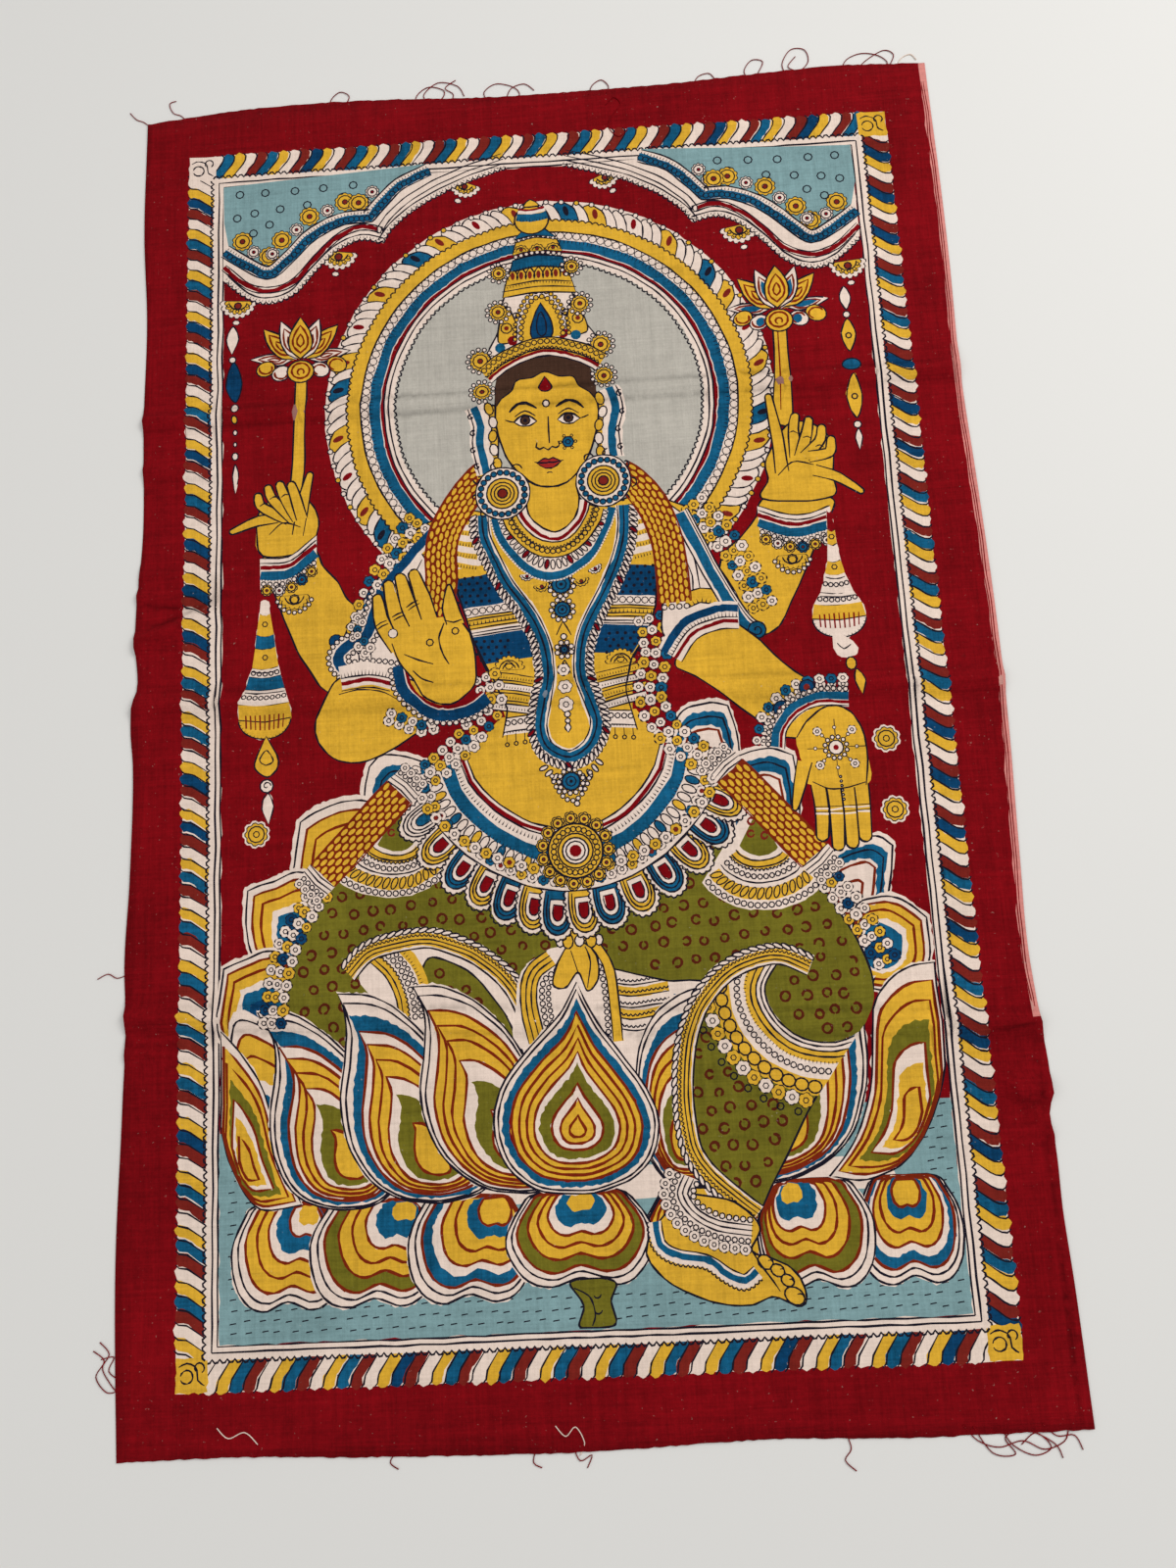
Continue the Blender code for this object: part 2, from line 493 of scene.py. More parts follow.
def frilled(x, y, radius, petals, depth=0.14, turn=0.0, span=360):
    """A round outline with a frill of petals. Less than a whole turn gives a fan."""
    each = 3
    count = petals * each
    t = np.arange(count + (span < 360)) / count
    r = radius * (1 - depth + depth * np.abs(np.sin(np.pi * petals * t)) ** 0.6)
    a = np.radians(turn + span * t)
    return np.stack([x + r * np.cos(a), y + r * np.sin(a)], axis=1)


def rosette(x, y, radius, dye, eye, petals):
    """A frilled flower seen from the front, with a ring round its eye."""
    shape("ink", frilled(x, y, radius, petals))
    shape(dye, frilled(x, y, radius - 0.8, petals))
    ring("ink", x, y, radius * 0.66, 0.75)
    spot(x, y, radius * 0.3, eye, 0.6)


def fan(x, y, radius, turn, dye="mustard", eye="brown", petals=7, span=180):
    """Half a rosette, opening from one angle round by span."""
    shape("ink", frilled(x, y, radius, petals, turn=turn, span=span))
    shape(dye, frilled(x, y, radius - 0.8, petals, turn=turn + 2, span=span - 4))
    pen(arc(x, y, radius * 0.62, turn + 8, turn + span - 8), 0.75)
    middle = math.radians(turn + span / 2)
    spot(x + radius * 0.3 * math.cos(middle), y + radius * 0.3 * math.sin(middle), radius * 0.27, eye, 0.5)


def beads(path, radius, dye="cream", pitch=None, line=0.7):
    """Inked beads along a path, touching unless a pitch is given."""
    for x, y, turn in spaced(path, pitch or 2 * radius * 0.96):
        spot(x, y, radius, dye, line, turn=turn)


def scallops(path, pitch, depth, width=0.8):
    """A line of small arcs that bulge to the path's left."""
    points = []
    for x, y, turn in spaced(path, pitch):
        for u, v in ((-0.5, 0), (-0.22, 0.85), (0.12, 1)):
            a = math.radians(turn)
            du, dv = u * pitch, v * depth
            points.append((x + du * math.cos(a) - dv * math.sin(a), y + du * math.sin(a) + dv * math.cos(a)))
    path = wander(np.array(points), PEN_WAVES, 0.25)
    ribbon("ink", path, np.full(len(path), width * INK_WEIGHT))


def comb(path, length, pitch, width=0.8):
    """Short ink ticks across a path, to its left."""
    for x, y, turn in spaced(path, pitch):
        a = math.radians(turn)
        across, along = np.array([-math.sin(a), math.cos(a)]), np.array([math.cos(a), math.sin(a)])
        foot = np.array([x, y])
        shape("ink", [foot - along * width / 2, foot + along * width / 2, foot + across * length])


def scales(path, width, rows, pitch):
    """A garland: overlapping mustard petals with rust between them."""
    stripe("rust", path, -width / 2, width / 2)
    for x, y, turn in spaced(path, pitch):
        a = math.radians(turn)
        for row in range(rows):
            across = ((row + 0.5) / rows - 0.5) * (width - 0.6)
            along = pitch * (0.5 if row % 2 else 0)
            px = x + along * math.cos(a) - across * math.sin(a)
            py = y + along * math.sin(a) + across * math.cos(a)
            disc(
                "mustard",
                px,
                py,
                pitch * 0.45,
                0.62 * width / rows / pitch * 1.35,
                turn + rng.uniform(-8, 8),
            )


def blossom(x, y, radius, dye="cream"):
    """A little frilled flower with a ring in it."""
    shape("ink", frilled(x, y, radius, 6, 0.16, rng.uniform(0, 60)))
    shape(dye, frilled(x, y, radius - 0.65, 6, 0.16, rng.uniform(0, 60)))
    ring("ink", x, y, radius * 0.34, 0.6)


def blossoms(path, width, radius, rows, dyes):
    """Rows of little flowers along a path."""
    k = 0
    for x, y, turn in spaced(path, radius * 1.9):
        a = math.radians(turn)
        for row in range(rows):
            across = ((row + 0.5) / rows - 0.5) * width + rng.uniform(-0.5, 0.5)
            dye = dyes[k % len(dyes)]
            k += 1 if row else 2
            blossom(x - across * math.sin(a), y + across * math.cos(a), radius * rng.uniform(0.88, 1.1), dye)


def limb(path, widths):
    """A finger, an arm or a stem: mustard, with ink round its sides and its rounded tip."""
    path = smooth(path)
    share = np.linspace(0, 1, len(path))
    half = np.interp(share, np.linspace(0, 1, len(widths)), widths) / 2
    along = directions(path)
    side = np.stack([-along[:, 1], along[:, 0]], axis=1) * half[:, None]
    heading = math.degrees(math.atan2(along[-1][1], along[-1][0]))
    tip = arc(*path[-1], half[-1], heading + 80, heading - 80)
    edge = np.vstack([path + side, tip, (path - side)[::-1]])
    wash("mustard", edge)
    pen(edge)


def nested(outline, focus, layers):
    """Contours one inside another. Each layer is (dye or line, share of the outline's size)."""
    outline, focus = np.array(outline, float), np.array(focus, float)
    for dye, share in layers:
        inside = focus + (outline - focus) * share
        if dye == "pen":
            pen(inside, closed=True)
        elif dye == "rust line":
            rust(inside, closed=True)
        else:
            wash(dye, inside, 0.4)


# ---------------------------------------------------------------------------------------------------
# The frame: rope border, corner squares, cream strip and the picture's grounds
# ---------------------------------------------------------------------------------------------------

BAND = 18.0
STRIP = 8.5
BAND_LEFT, BAND_RIGHT = -255.0, 255.5
BAND_TOP, BAND_BOTTOM = 426.0, -420.0
PICTURE_LEFT, PICTURE_RIGHT = BAND_LEFT + BAND + STRIP, BAND_RIGHT - BAND - STRIP
PICTURE_TOP, PICTURE_BOTTOM = BAND_TOP - BAND - STRIP, BAND_BOTTOM + BAND + STRIP
TOP_LEAN = -0.016  # the picture's top runs a little down to the right


def leaned(points):
    """Points with the picture's lean, which grows from none at its middle to TOP_LEAN at its top."""
    points = np.array(points, float)
    points[:, 1] += TOP_LEAN * points[:, 0] * np.clip(points[:, 1] / BAND_TOP, 0, 1)
    return points


def box_outline(left, bottom, right, top):
    return leaned(straight([(left, bottom), (right, bottom), (right, top), (left, top)], closed=True, step=6))


# Each side of the border: the outer corner it starts from, its direction, its inward direction, its
# length, how far a stroke's inner end runs on past its outer end, and its dyes in order.
Side = namedtuple("Side", "x y along inward length slant dyes")

SELVEDGE_WIDTH = 4.6
SELVEDGE_LOW = -222.0  # below this the edge is turned under

WIDE, TALL = BAND_RIGHT - BAND_LEFT, BAND_TOP - BAND_BOTTOM
SIDES = (
    Side(BAND_LEFT, BAND_TOP, (1, 0), (0, -1), WIDE, -9, ("blue", "mustard", "cream", "brown")),
    Side(BAND_LEFT, BAND_BOTTOM, (1, 0), (0, 1), WIDE, 9, ("cream", "mustard", "blue", "brown")),
    Side(BAND_LEFT, BAND_TOP, (0, -1), (1, 0), TALL, 9, ("cream", "mustard", "blue", "brown")),
    Side(BAND_RIGHT, BAND_TOP, (0, -1), (-1, 0), TALL, -9, ("brown", "blue", "mustard", "cream")),
)
STROKE_PITCH = 8.2
CORNER = 20.0


def on_side(side, points):
    """Points given as (along, inward) on one side of the border."""
    points = np.array(points, float)
    base = np.array([side.x, side.y], float)
    return leaned(base + points[:, :1] * side.along + points[:, 1:] * side.inward)


def paint_strokes(side):
    run = side.length - 2 * CORNER
    count = round(run / STROKE_PITCH)
    pitch = run / count
    first = CORNER + max(0, -side.slant) * 0.6
    for k in range(count):
        dye = side.dyes[k % 4]
        if dye == "blue" and rng.random() < 0.4:
            dye = "indigo"
        s = first + k * pitch + rng.uniform(-0.5, 0.5) - max(0, side.slant) * 0.4
        wide = pitch * (0.93 + rng.uniform(-0.06, 0.12))
        bend = side.slant * 0.3
        near = smooth([
            (s, 0.8),
            (s + bend * 0.4, BAND * 0.35),
            (s + side.slant * 0.62, BAND * 0.7),
            (s + side.slant, BAND),
        ])
        bulge = smooth([(s, 0.8), (s + wide * 0.45, -1.3 + rng.uniform(-0.8, 0.4)), (s + wide, 0.8)], step=2)
        far = near + (wide, 0)
        leaf = on_side(side, np.vstack([near[::-1], bulge[1:-1], far]))
        wash(dye, leaf, 0.3, 0.2)
    for k in range(count + 1):
        s = first + k * pitch - max(0, side.slant) * 0.4
        bend = side.slant * 0.3
        line = [(s - 1.5, -1.2), (s + 0.6, 1.2), (s + bend * 0.4 + 0.4, BAND * 0.35)]
        line += [(s + side.slant * 0.62, BAND * 0.7), (s + side.slant, BAND - 0.5)]
        pen(on_side(side, smooth(line, step=2.5)), 0.85, slack=0.2)


def paint_corner(x, y, dye):
    """A square with a scroll in it. (x, y) is its middle."""
    x, y = leaned([(x, y)])[0]
    half = CORNER / 2
    square = straight(
        [(x - half, y - half), (x + half, y - half), (x + half, y + half), (x - half, y + half)], True
    )
    wash(dye, square, 0.4)
    pen(arc(x - 3, y - 1, 4, -160, 170), 0.8)
    pen(smooth([(x - 8, y + 5), (x - 3, y + 7), (x + 3, y + 4), (x + 4, y - 3), (x + 8, y - 6)]), 0.8)
    pen(arc(x + 5, y + 4, 3, -60, 220), 0.8)


def paint_border():
    wash("cream", box_outline(BAND_LEFT, BAND_BOTTOM, BAND_RIGHT, BAND_TOP), 0.3)
    for side in SIDES:
        paint_strokes(side)
    paint_corner(BAND_LEFT + CORNER / 2, BAND_TOP - CORNER / 2, "cream")
    paint_corner(BAND_RIGHT - CORNER / 2, BAND_TOP - CORNER / 2, "mustard")
    paint_corner(BAND_LEFT + CORNER / 2, BAND_BOTTOM + CORNER / 2, "mustard")
    paint_corner(BAND_RIGHT - CORNER / 2, BAND_BOTTOM + CORNER / 2, "mustard")
    inner = [BAND_LEFT + BAND, BAND_BOTTOM + BAND, BAND_RIGHT - BAND, BAND_TOP - BAND]
    wash("cream", box_outline(*inner), 0.3)
    for side in SIDES:
        turned = 1 if np.cross(side.along, side.inward) < 0 else -1
        edge = on_side(side, straight([(BAND, BAND + 0.4), (side.length - BAND, BAND + 0.4)], step=3.8))
        scallops(edge if turned > 0 else edge[::-1], 4.6, 2.1, 1.05)
        for depth in (BAND + 4.3, BAND + STRIP - 0.7):
            edge = on_side(side, straight([(depth, depth), (side.length - depth, depth)], step=5))
            pen(edge, 1.0)
    wash("madder", box_outline(PICTURE_LEFT, PICTURE_BOTTOM, PICTURE_RIGHT, PICTURE_TOP), 0.35)


def paint_water():
    top = -268
    corners = [
        (PICTURE_LEFT, PICTURE_BOTTOM), (PICTURE_RIGHT, PICTURE_BOTTOM), (PICTURE_RIGHT, top),
        (PICTURE_LEFT, top),
    ]
    wash("sky", straight(corners, True, 5), 0.35)
    for y in np.arange(PICTURE_BOTTOM + 6, top, 6.4):
        for x in np.arange(PICTURE_LEFT + 5, PICTURE_RIGHT - 3, 9.0):
            px, py = x + rng.uniform(-1.5, 1.5) + (y % 12.8) * 0.35, y + rng.uniform(-0.9, 0.9)
            if py > -372 and abs(px) < 205:
                continue
            shape("ink", [(px, py - 0.4), (px + 4.2, py + 0.2), (px + 4.0, py + 0.9), (px + 0.3, py + 0.45)])


# ---------------------------------------------------------------------------------------------------
# The canopy in the two top corners
# ---------------------------------------------------------------------------------------------------

# The canopy's left swag runs in two dips with a cusp between them, and into the strip at the top.
SWAG_OUTER = [
    (-229, 347), (-211, 334), (-195, 327), (-180, 339), (-166, 353), (-152, 362), (-137, 367), (-121, 367)
]
SWAG_INNER = [(-121, 367), (-109, 381), (-96, 393), (-76, 402)]
LOWER_OUTER = [
    (-229, 325), (-211, 309), (-194, 304), (-176, 311), (-161, 328), (-145, 343), (-128, 350), (-112, 346)
]
LOWER_INNER = [(-112, 346), (-104, 358), (-89, 371), (-70, 382), (-46, 392), (-20, 400)]
SPANDREL_RINGS = (
    (-217, 393), (-198, 393), (-176, 393), (-155, 394), (-133, 395),
    (-219, 374), (-206, 377), (-187, 379), (-141, 386),
    (-207, 361), (-195, 367), (-167, 381),
)
SWAG_PENDANTS = ((-50, 390, 9, -25), (-144, 341, 11, -10), (-218, 307, 10.5, -5))  # x, y, radius, lean


def paint_pendant(x, y, radius, turn):
    """A half rosette under the canopy, opening round turn, with ringed petals and a drop at its tip."""
    start = turn - 95
    away = np.array([math.cos(math.radians(turn)), math.sin(math.radians(turn))])
    fan(x, y, radius + 3.4, start, "cream", "cream", 9, 190)
    fan(x, y, radius, start, petals=8, span=190)
    for x1, y1, _ in spaced(arc(x, y, radius * 0.72, start + 12, start + 178), 4.4):
        ring("ink", x1, y1, 1.3, 0.6)
    spot(x + away[0] * radius * 0.3, y + away[1] * radius * 0.3, radius * 0.3, "brown", 0.8)
    spot(x + away[0] * (radius + 6), y + away[1] * (radius + 6), 2.4, "cream", 0.6, 1.3, turn)


def paint_canopy(flip):
    def put(points):
        points = np.array(points, float)
        return leaned(points * (flip, 1))

    upper = np.vstack([smooth(SWAG_OUTER), smooth(SWAG_INNER)[1:]])
    lower = np.vstack([smooth(LOWER_OUTER), smooth(LOWER_INNER)[1:]])
    top = np.array([(-20, PICTURE_TOP + 1), (-229, PICTURE_TOP + 1)], float)
    for x, y, radius, lean in SWAG_PENDANTS:
        x, y = put([(x, y)])[0]
        paint_pendant(x, y, radius, 270 + lean * flip)
    wash("cream", put(np.vstack([lower, top])), 0.3)
    wash("sky", put(np.vstack([beside(upper, 6.6), top[1:], top[1:] + (0, -30)])), 0.3)
    for x, y in SPANDREL_RINGS:
        x, y = put([(x, y)])[0]
        ring("ink", x, y, 2.9, 0.8)
    for k, (x, y, turn) in enumerate(spaced(beside(upper, 6.8), 12.6)):
        radius = 5.6 if k % 2 else 8.0
        a = math.radians(turn + 90)
        x, y = x + radius * math.cos(a), y + radius * math.sin(a)
        if y + radius < PICTURE_TOP:
            x, y = put([(x, y)])[0]
            rosette(x, y, radius, "cream" if k % 2 else "mustard", "madder" if k % 2 else "brown", 10)
    wash("cream", put(np.vstack([beside(upper, 6.8), beside(upper, -3)[::-1]])), 0.2)
    wash("blue", put(np.vstack([beside(upper, -2.8), beside(upper, 3.4)[::-1]])), 0.25)
    for x, y, _ in spaced(put(upper), 3.9):
        ring("ink", x, y, 2.1, 0.6)
    edge = put(beside(upper, 3.6))
    comb(edge if flip > 0 else edge[::-1], 2.3, 2.4, 0.9)
    pen(put(beside(upper, -3.4)), 0.9)
    pen(put(beside(upper, 6.7)), 0.9)
    path = np.vstack([
        smooth([(x, y + 10.5) for x, y in LOWER_OUTER]),
        smooth([(x - 3, y + 10) for x, y in LOWER_INNER])[1:],
    ])
    wash("madder", put(np.vstack([beside(path, -1.6), beside(path, 1.6)[::-1]])), 0.25)
    pen(put(beside(path, 2.3)), 0.8)
    pen(put(beside(path, -2.4)), 0.8)
    pen(put(beside(lower, 4.4)), 0.85)
    edge = put(beside(lower, 1.2))
    edge = edge[::-1] if flip > 0 else edge
    scallops(edge, 4.2, 2.0, 1.0)
    comb(beside(edge, -0.4), -1.8, 2.4, 0.8)


# ---------------------------------------------------------------------------------------------------
# The halo
# ---------------------------------------------------------------------------------------------------

HALO_X, HALO_Y = 2.0, 214.0
HALO_FROM, HALO_TO = -48, 228
GREY_R, CREAM_R, RED_R, BLUE_R, BEAD_R, GOLD_R, FEATHER_R = 108.5, 115.5, 118, 126.0, 132.2, 142, 156
FEATHERS = (
    ("cream", None), ("cream", None), ("mustard", "brown"), ("cream", None), ("cream", None),
    ("cream", "madder"),
    ("cream", None), ("cream", None), ("mustard", "brown"), ("cream", None), ("blue", "ink"), ("cream", None),
)


def halo_arc(radius):
    return arc(HALO_X, HALO_Y, radius, HALO_FROM, HALO_TO)


def paint_feather(turn, span, dye, drop):
    """One leaning leaf of the halo's outer ring."""
    def at(radius, degrees):
        a = math.radians(degrees)
        return (HALO_X + radius * math.cos(a), HALO_Y + radius * math.sin(a))

    lean = 3.4
    sides = [
        at(GOLD_R - 0.5, turn), at(GOLD_R + 6, turn + lean * 0.35), at(FEATHER_R - 3, turn + lean * 0.8),
        at(FEATHER_R + rng.uniform(-0.4, 0.8), turn + lean + span * 0.5),
        at(FEATHER_R - 3, turn + lean * 0.8 + span), at(GOLD_R + 6, turn + lean * 0.35 + span),
        at(GOLD_R - 0.5, turn + span),
    ]
    leaf = smooth(sides, step=2.2)
    wash(dye, leaf, 0.2, 0.1)
    pen(leaf, 0.8, slack=0.12)
    if drop:
        x, y = at((GOLD_R + FEATHER_R) / 2 + 0.5, turn + span * 0.5 + lean * 0.5)
        disc(drop, x, y, 4.2, 0.48, turn + 25)


def paint_halo():
    stripe("cream", halo_arc(GOLD_R), 2, -(FEATHER_R - GOLD_R) - 1.2)
    turn, k = HALO_FROM, 0
    while turn < HALO_TO:
        dye, drop = FEATHERS[k % len(FEATHERS)]
        span = 5.2 if dye != "cream" or drop else 3.0
        paint_feather(turn, span, dye, drop)
        turn += span
        k += 1
    for x, y, _ in spaced(halo_arc(FEATHER_R + 0.4), 11):
        spot(x, y, 2.4, "cream" if rng.random() < 0.7 else "mustard", 0.7)
    wash("mustard", arc(HALO_X, HALO_Y, GOLD_R, HALO_FROM, HALO_TO))
    scallops(halo_arc(GOLD_R - 1.0), 4.8, -1.7, 0.9)
    wash("cream", arc(HALO_X, HALO_Y, BEAD_R, HALO_FROM, HALO_TO))
    pen(halo_arc(BEAD_R + 0.2), 0.9)
    beads(halo_arc((BEAD_R + BLUE_R) / 2 + 0.2), 3.1, pitch=5.9, line=0.5)
    wash("blue", arc(HALO_X, HALO_Y, BLUE_R, HALO_FROM, HALO_TO))
    comb(halo_arc(BLUE_R - 0.2), 3.0, 2.9, 0.9)
    wash("cream", arc(HALO_X, HALO_Y, RED_R + 0.6, HALO_FROM, HALO_TO))
    wash("madder", arc(HALO_X, HALO_Y, RED_R, HALO_FROM, HALO_TO))
    wash("cream", arc(HALO_X, HALO_Y, CREAM_R, HALO_FROM, HALO_TO))
    pen(halo_arc(CREAM_R + 0.2), 0.9)
    pen(halo_arc(CREAM_R - 3.0), 0.9)
    wash("grey", arc(HALO_X, HALO_Y, GREY_R, HALO_FROM, HALO_TO), 0.3)
    scallops(halo_arc(GREY_R + 0.2), 4.4, 1.8, 0.95)


# ---------------------------------------------------------------------------------------------------
# More of the painter's habits, used on the figure
# ---------------------------------------------------------------------------------------------------


def swag(left, low, right, roundness):
    """A hanging curve through its lowest point: a parabola for roundness 0, half an oval for 1."""
    points = []
    for end, turns in ((left, (1, 0)), (right, (0, 1))):
        for s in np.linspace(*turns, 14):
            flat_part = (1 - roundness) * s**2 + roundness * (1 - math.sqrt(max(0, 1 - s**2)))
            points.append((low[0] + (end[0] - low[0]) * s, low[1] + (end[1] - low[1]) * flat_part))
    return thinned(np.array(points), 0.02)


def petals(path, length, width, dyes, line=0.7):
    """Oval petals side by side along a path, each across it."""
    for k, (x, y, turn) in enumerate(spaced(path, width)):
        spot(x, y, length / 2, dyes[k % len(dyes)], line, width * 0.98 / length, turn + 90)


def dots(x, y, width, height, pitch, size):
    """Ink dots in staggered rows over a patch."""
    for row, py in enumerate(np.arange(y - height / 2 + 1.2, y + height / 2, pitch * 0.8)):
        for px in np.arange(x - width / 2 + 1 + (row % 2) * pitch / 2, x + width / 2, pitch):
            disc("ink", px + rng.uniform(-0.3, 0.3), py + rng.uniform(-0.3, 0.3), size)


def medallion(x, y, radius, dye="blue", bead=2.2):
    """A dyed boss ringed with beads."""
    around = arc(x, y, radius, 0, 360)
    beads(around, bead, pitch=bead * 1.9)
    spot(x, y, radius - bead * 0.7, dye, 0.8)
    ring("ink", x, y, radius * 0.42, 0.7)
    disc("ink", x, y, radius * 0.16)


def bead_drop(x, y, sizes):
    """Cream beads hanging one below another, with a pointed drop at the end."""
    for size in sizes:
        spot(x, y - size, size, "cream", 0.75)
        y -= 2 * size - 0.4
    tip = smooth([(x, y + 0.5), (x + 2, y - 2.5), (x, y - 6), (x, y - 6), (x - 2, y - 2.5)], closed=True)
    outlined("cream", tip, 0.8)


def cluster(path, radius, rows, width, dyes=("cream", "mustard", "cream", "cream", "mustard", "blue")):
    blossoms(path, width, radius, rows, dyes)


def curl(x, y, radius, start, end, width=0.85):
    """A small spiral line."""
    turn = np.radians(np.linspace(start, end, 16))
    r = np.linspace(radius, radius * 0.3, 16)
    pen(np.stack([x + r * np.cos(turn), y + r * np.sin(turn)], axis=1), width)


# ---------------------------------------------------------------------------------------------------
# Lotus flowers in the raised hands, and the raised arms
# ---------------------------------------------------------------------------------------------------

# Each petal of a held flower: where its tip is from the flower's heart, its width and whether it is gold.
HeldPetal = namedtuple("HeldPetal", "tip_x tip_y width gold")

HELD_PETALS = (
    HeldPetal(-36, 2, 9, False),
    HeldPetal(36, 4, 9, False),
    HeldPetal(-27, 25, 14, True),
    HeldPetal(27, 25, 14, True),
    HeldPetal(-14, 31, 13, False),
    HeldPetal(14, 31, 13, False),
    HeldPetal(0, 33, 17, True),
)

# The curled petals under a held flower's heart.
HeldCurl = namedtuple("HeldCurl", "x y radius gold")

HELD_CURLS = (
    HeldCurl(-25, -6, 7.5, True),
    HeldCurl(26, -6, 8.0, True),
    HeldCurl(-14, -10, 7.5, False),
    HeldCurl(14, -9, 7.5, False),
)


def paint_held_petal(x, y, petal, heart):
    foot = np.array([x + petal.tip_x * 0.15, y])
    line = np.array([x + petal.tip_x, y + petal.tip_y]) - foot
    side = np.array([-line[1], line[0]]) / np.hypot(*line) * petal.width / 2
    outline = smooth(
        [
            foot, foot + line * 0.22 + side * 0.85, foot + line * 0.5 + side, foot + line * 0.78 + side * 0.6,
            foot + line, foot + line, foot + line * 0.78 - side * 0.6, foot + line * 0.5 - side,
            foot + line * 0.22 - side * 0.85, foot,
        ],
        closed=True,
    )
    middle = foot + line * 0.42
    wash("mustard" if petal.gold else "cream", outline, 0.15)
    pen(outline, 0.95, closed=True)
    rust(middle + (outline - middle) * 0.66, 1.2, closed=True)
    if heart and not petal.gold:
        wash(heart, middle + (outline - middle) * 0.5, 0.15)
    else:
        rust(middle + (outline - middle) * 0.3, 1.1, closed=True)


def paint_held_lotus(x, y, heart):
    """A lotus over its stem's ball. heart is the dye inside its pale petals, or None."""
    for petal in HELD_PETALS:
        paint_held_petal(x, y, petal, heart)
    for piece in HELD_CURLS:
        side = math.copysign(1, piece.x)
        px, py = x + piece.x, y + piece.y
        spot(px, py, piece.radius, "mustard" if piece.gold else "cream", 0.8, 0.82, -25 * side)
        if heart and not piece.gold:
            disc(heart, px - side * 1.5, py, piece.radius * 0.5)
        turn = 90 - 70 * side
        rust(arc(px, py, piece.radius * 0.62, turn, turn + 230, 0.85), 1.1)
    spot(x, y - 9.5, 10.2, "mustard", 0.9, 0.9)
    rust(arc(x, y - 9, 6.4, 0, 360, 0.9), 1.2, closed=True)
    rust(arc(x, y - 10, 2.4, -40, 250), 1.2)


BACK_ARM_LEFT = [
    (-198, 118), (-196, 100), (-190, 80), (-181, 56), (-170, 33), (-152, 13), (-105, 15), (-95, 60),
    (-118, 70), (-139, 76), (-148, 92), (-158, 104), (-167, 119),
]
BACK_ARM_RIGHT = [
    (148, 132), (139, 118), (130, 107), (114, 90), (112, 60), (130, 36), (148, 40), (160, 60), (172, 84),
    (181, 103), (192, 128),
]
LEFT_FIST = [
    (-199, 114), (-205, 132), (-203, 146), (-194, 155), (-180, 158), (-167, 152), (-161, 138),
    (-163, 126), (-166, 117),
]
RIGHT_FIST = [
    (146, 131), (150, 145), (149, 158), (156, 172), (166, 184), (180, 186), (192, 176), (196, 162),
    (194, 146), (191, 129),
]


def paint_raised_arm_left():
    stem = [
        (-176, 252), (-178, 205), (-182, 150), (-186, 122), (-178, 122), (-172, 165), (-170, 205),
        (-169, 252),
    ]
    outlined("mustard", smooth(stem, closed=True))
    paint_held_lotus(-173, 261, None)
    outlined("mustard", smooth(BACK_ARM_LEFT, closed=True))
    outlined("mustard", smooth(LEFT_FIST, closed=True))
    limb([(-176, 128), (-172, 150), (-167, 172)], (8, 8, 5))
    limb([(-190, 142), (-206, 140), (-222, 134)], (7, 7, 4))
    for k, (x, y) in enumerate(((-203, 158), (-196, 164), (-188, 166), (-180, 165))):
        limb([(-182 + k * 3, 140), (x + 3, y - 8), (x, y)], (7.5, 7.5, 6))
    pen(smooth([(-196, 130), (-186, 138), (-174, 134)]), 0.85)
    for k, (x, y) in enumerate(((-199, 152), (-192, 157), (-184, 158))):
        pen(smooth([(x - 3, y - 1), (x, y + 1), (x + 3, y)]), 0.75)
    paint_bracelet((-202, 108), (-163, 122), 1)


def paint_raised_arm_right():
    stem = [(163, 262), (161, 230), (158, 190), (170, 188), (171, 235), (171, 262)]
    outlined("mustard", smooth(stem, closed=True))
    rust(smooth([(165.5, 258), (164.5, 230), (163, 196)]), 1.0)
    paint_held_lotus(167, 273, "blue")
    outlined("mustard", smooth(BACK_ARM_RIGHT, closed=True))
    outlined("mustard", smooth(RIGHT_FIST, closed=True))
    limb([(160, 150), (158, 180), (155, 206)], (9, 8, 5))
    for k, (x, y) in enumerate(((172, 190), (181, 187), (189, 180), (195, 171))):
        limb([(170 + k * 3, 160), (x - 2, y - 9), (x, y)], (8, 7.5, 6))
    limb([(182, 150), (198, 143), (212, 132)], (8, 7, 4))
    pen(smooth([(157, 148), (168, 157), (182, 154)]), 0.85)
    for x, y in ((170, 177), (179, 173), (187, 166)):
        pen(smooth([(x - 3, y + 1), (x, y + 2), (x + 3, y)]), 0.75)
    paint_bracelet((141, 122), (190, 118), -1)


def paint_bracelet(left, right, side):
    """Bands across a wrist, from the hand down the arm: white, red, blue, beads and gold rosettes."""
    left, right = np.array(left, float), np.array(right, float)
    sag = np.array([0, -7.0])
    middle = (left + right) / 2 + sag

    def band(depth):
        down = np.array([0, -depth])
        return smooth([left + down, middle + down, right + down], step=2)

    wash("cream", np.vstack([band(-5), band(18)[::-1]]))
    pen(band(-5), 0.8)
    pen(band(-1.5), 0.8)
    stripe("madder", band(1.5), -1.4, 1.4)
    stripe("blue", band(7.5), -3.2, 3.2)
    comb(band(10.2), -1.8, 2.2)
    beads(band(13.5), 2.2)
    gems = spaced(band(18), 8.2)
    for k, (x, y, _) in enumerate(gems):
        rosette(x, y, 4.6, ("mustard", "cream", "mustard", "blue")[k % 4], "brown", 8)
    fan(middle[0] + side * 4, middle[1] - 23, 11, 180, "mustard", "mustard", 8)
    ring("ink", middle[0] + side * 4, middle[1] - 26, 3.4, 0.8)
    beads(arc(middle[0] + side * 4, middle[1] - 23, 12.5, 190, 350), 2)


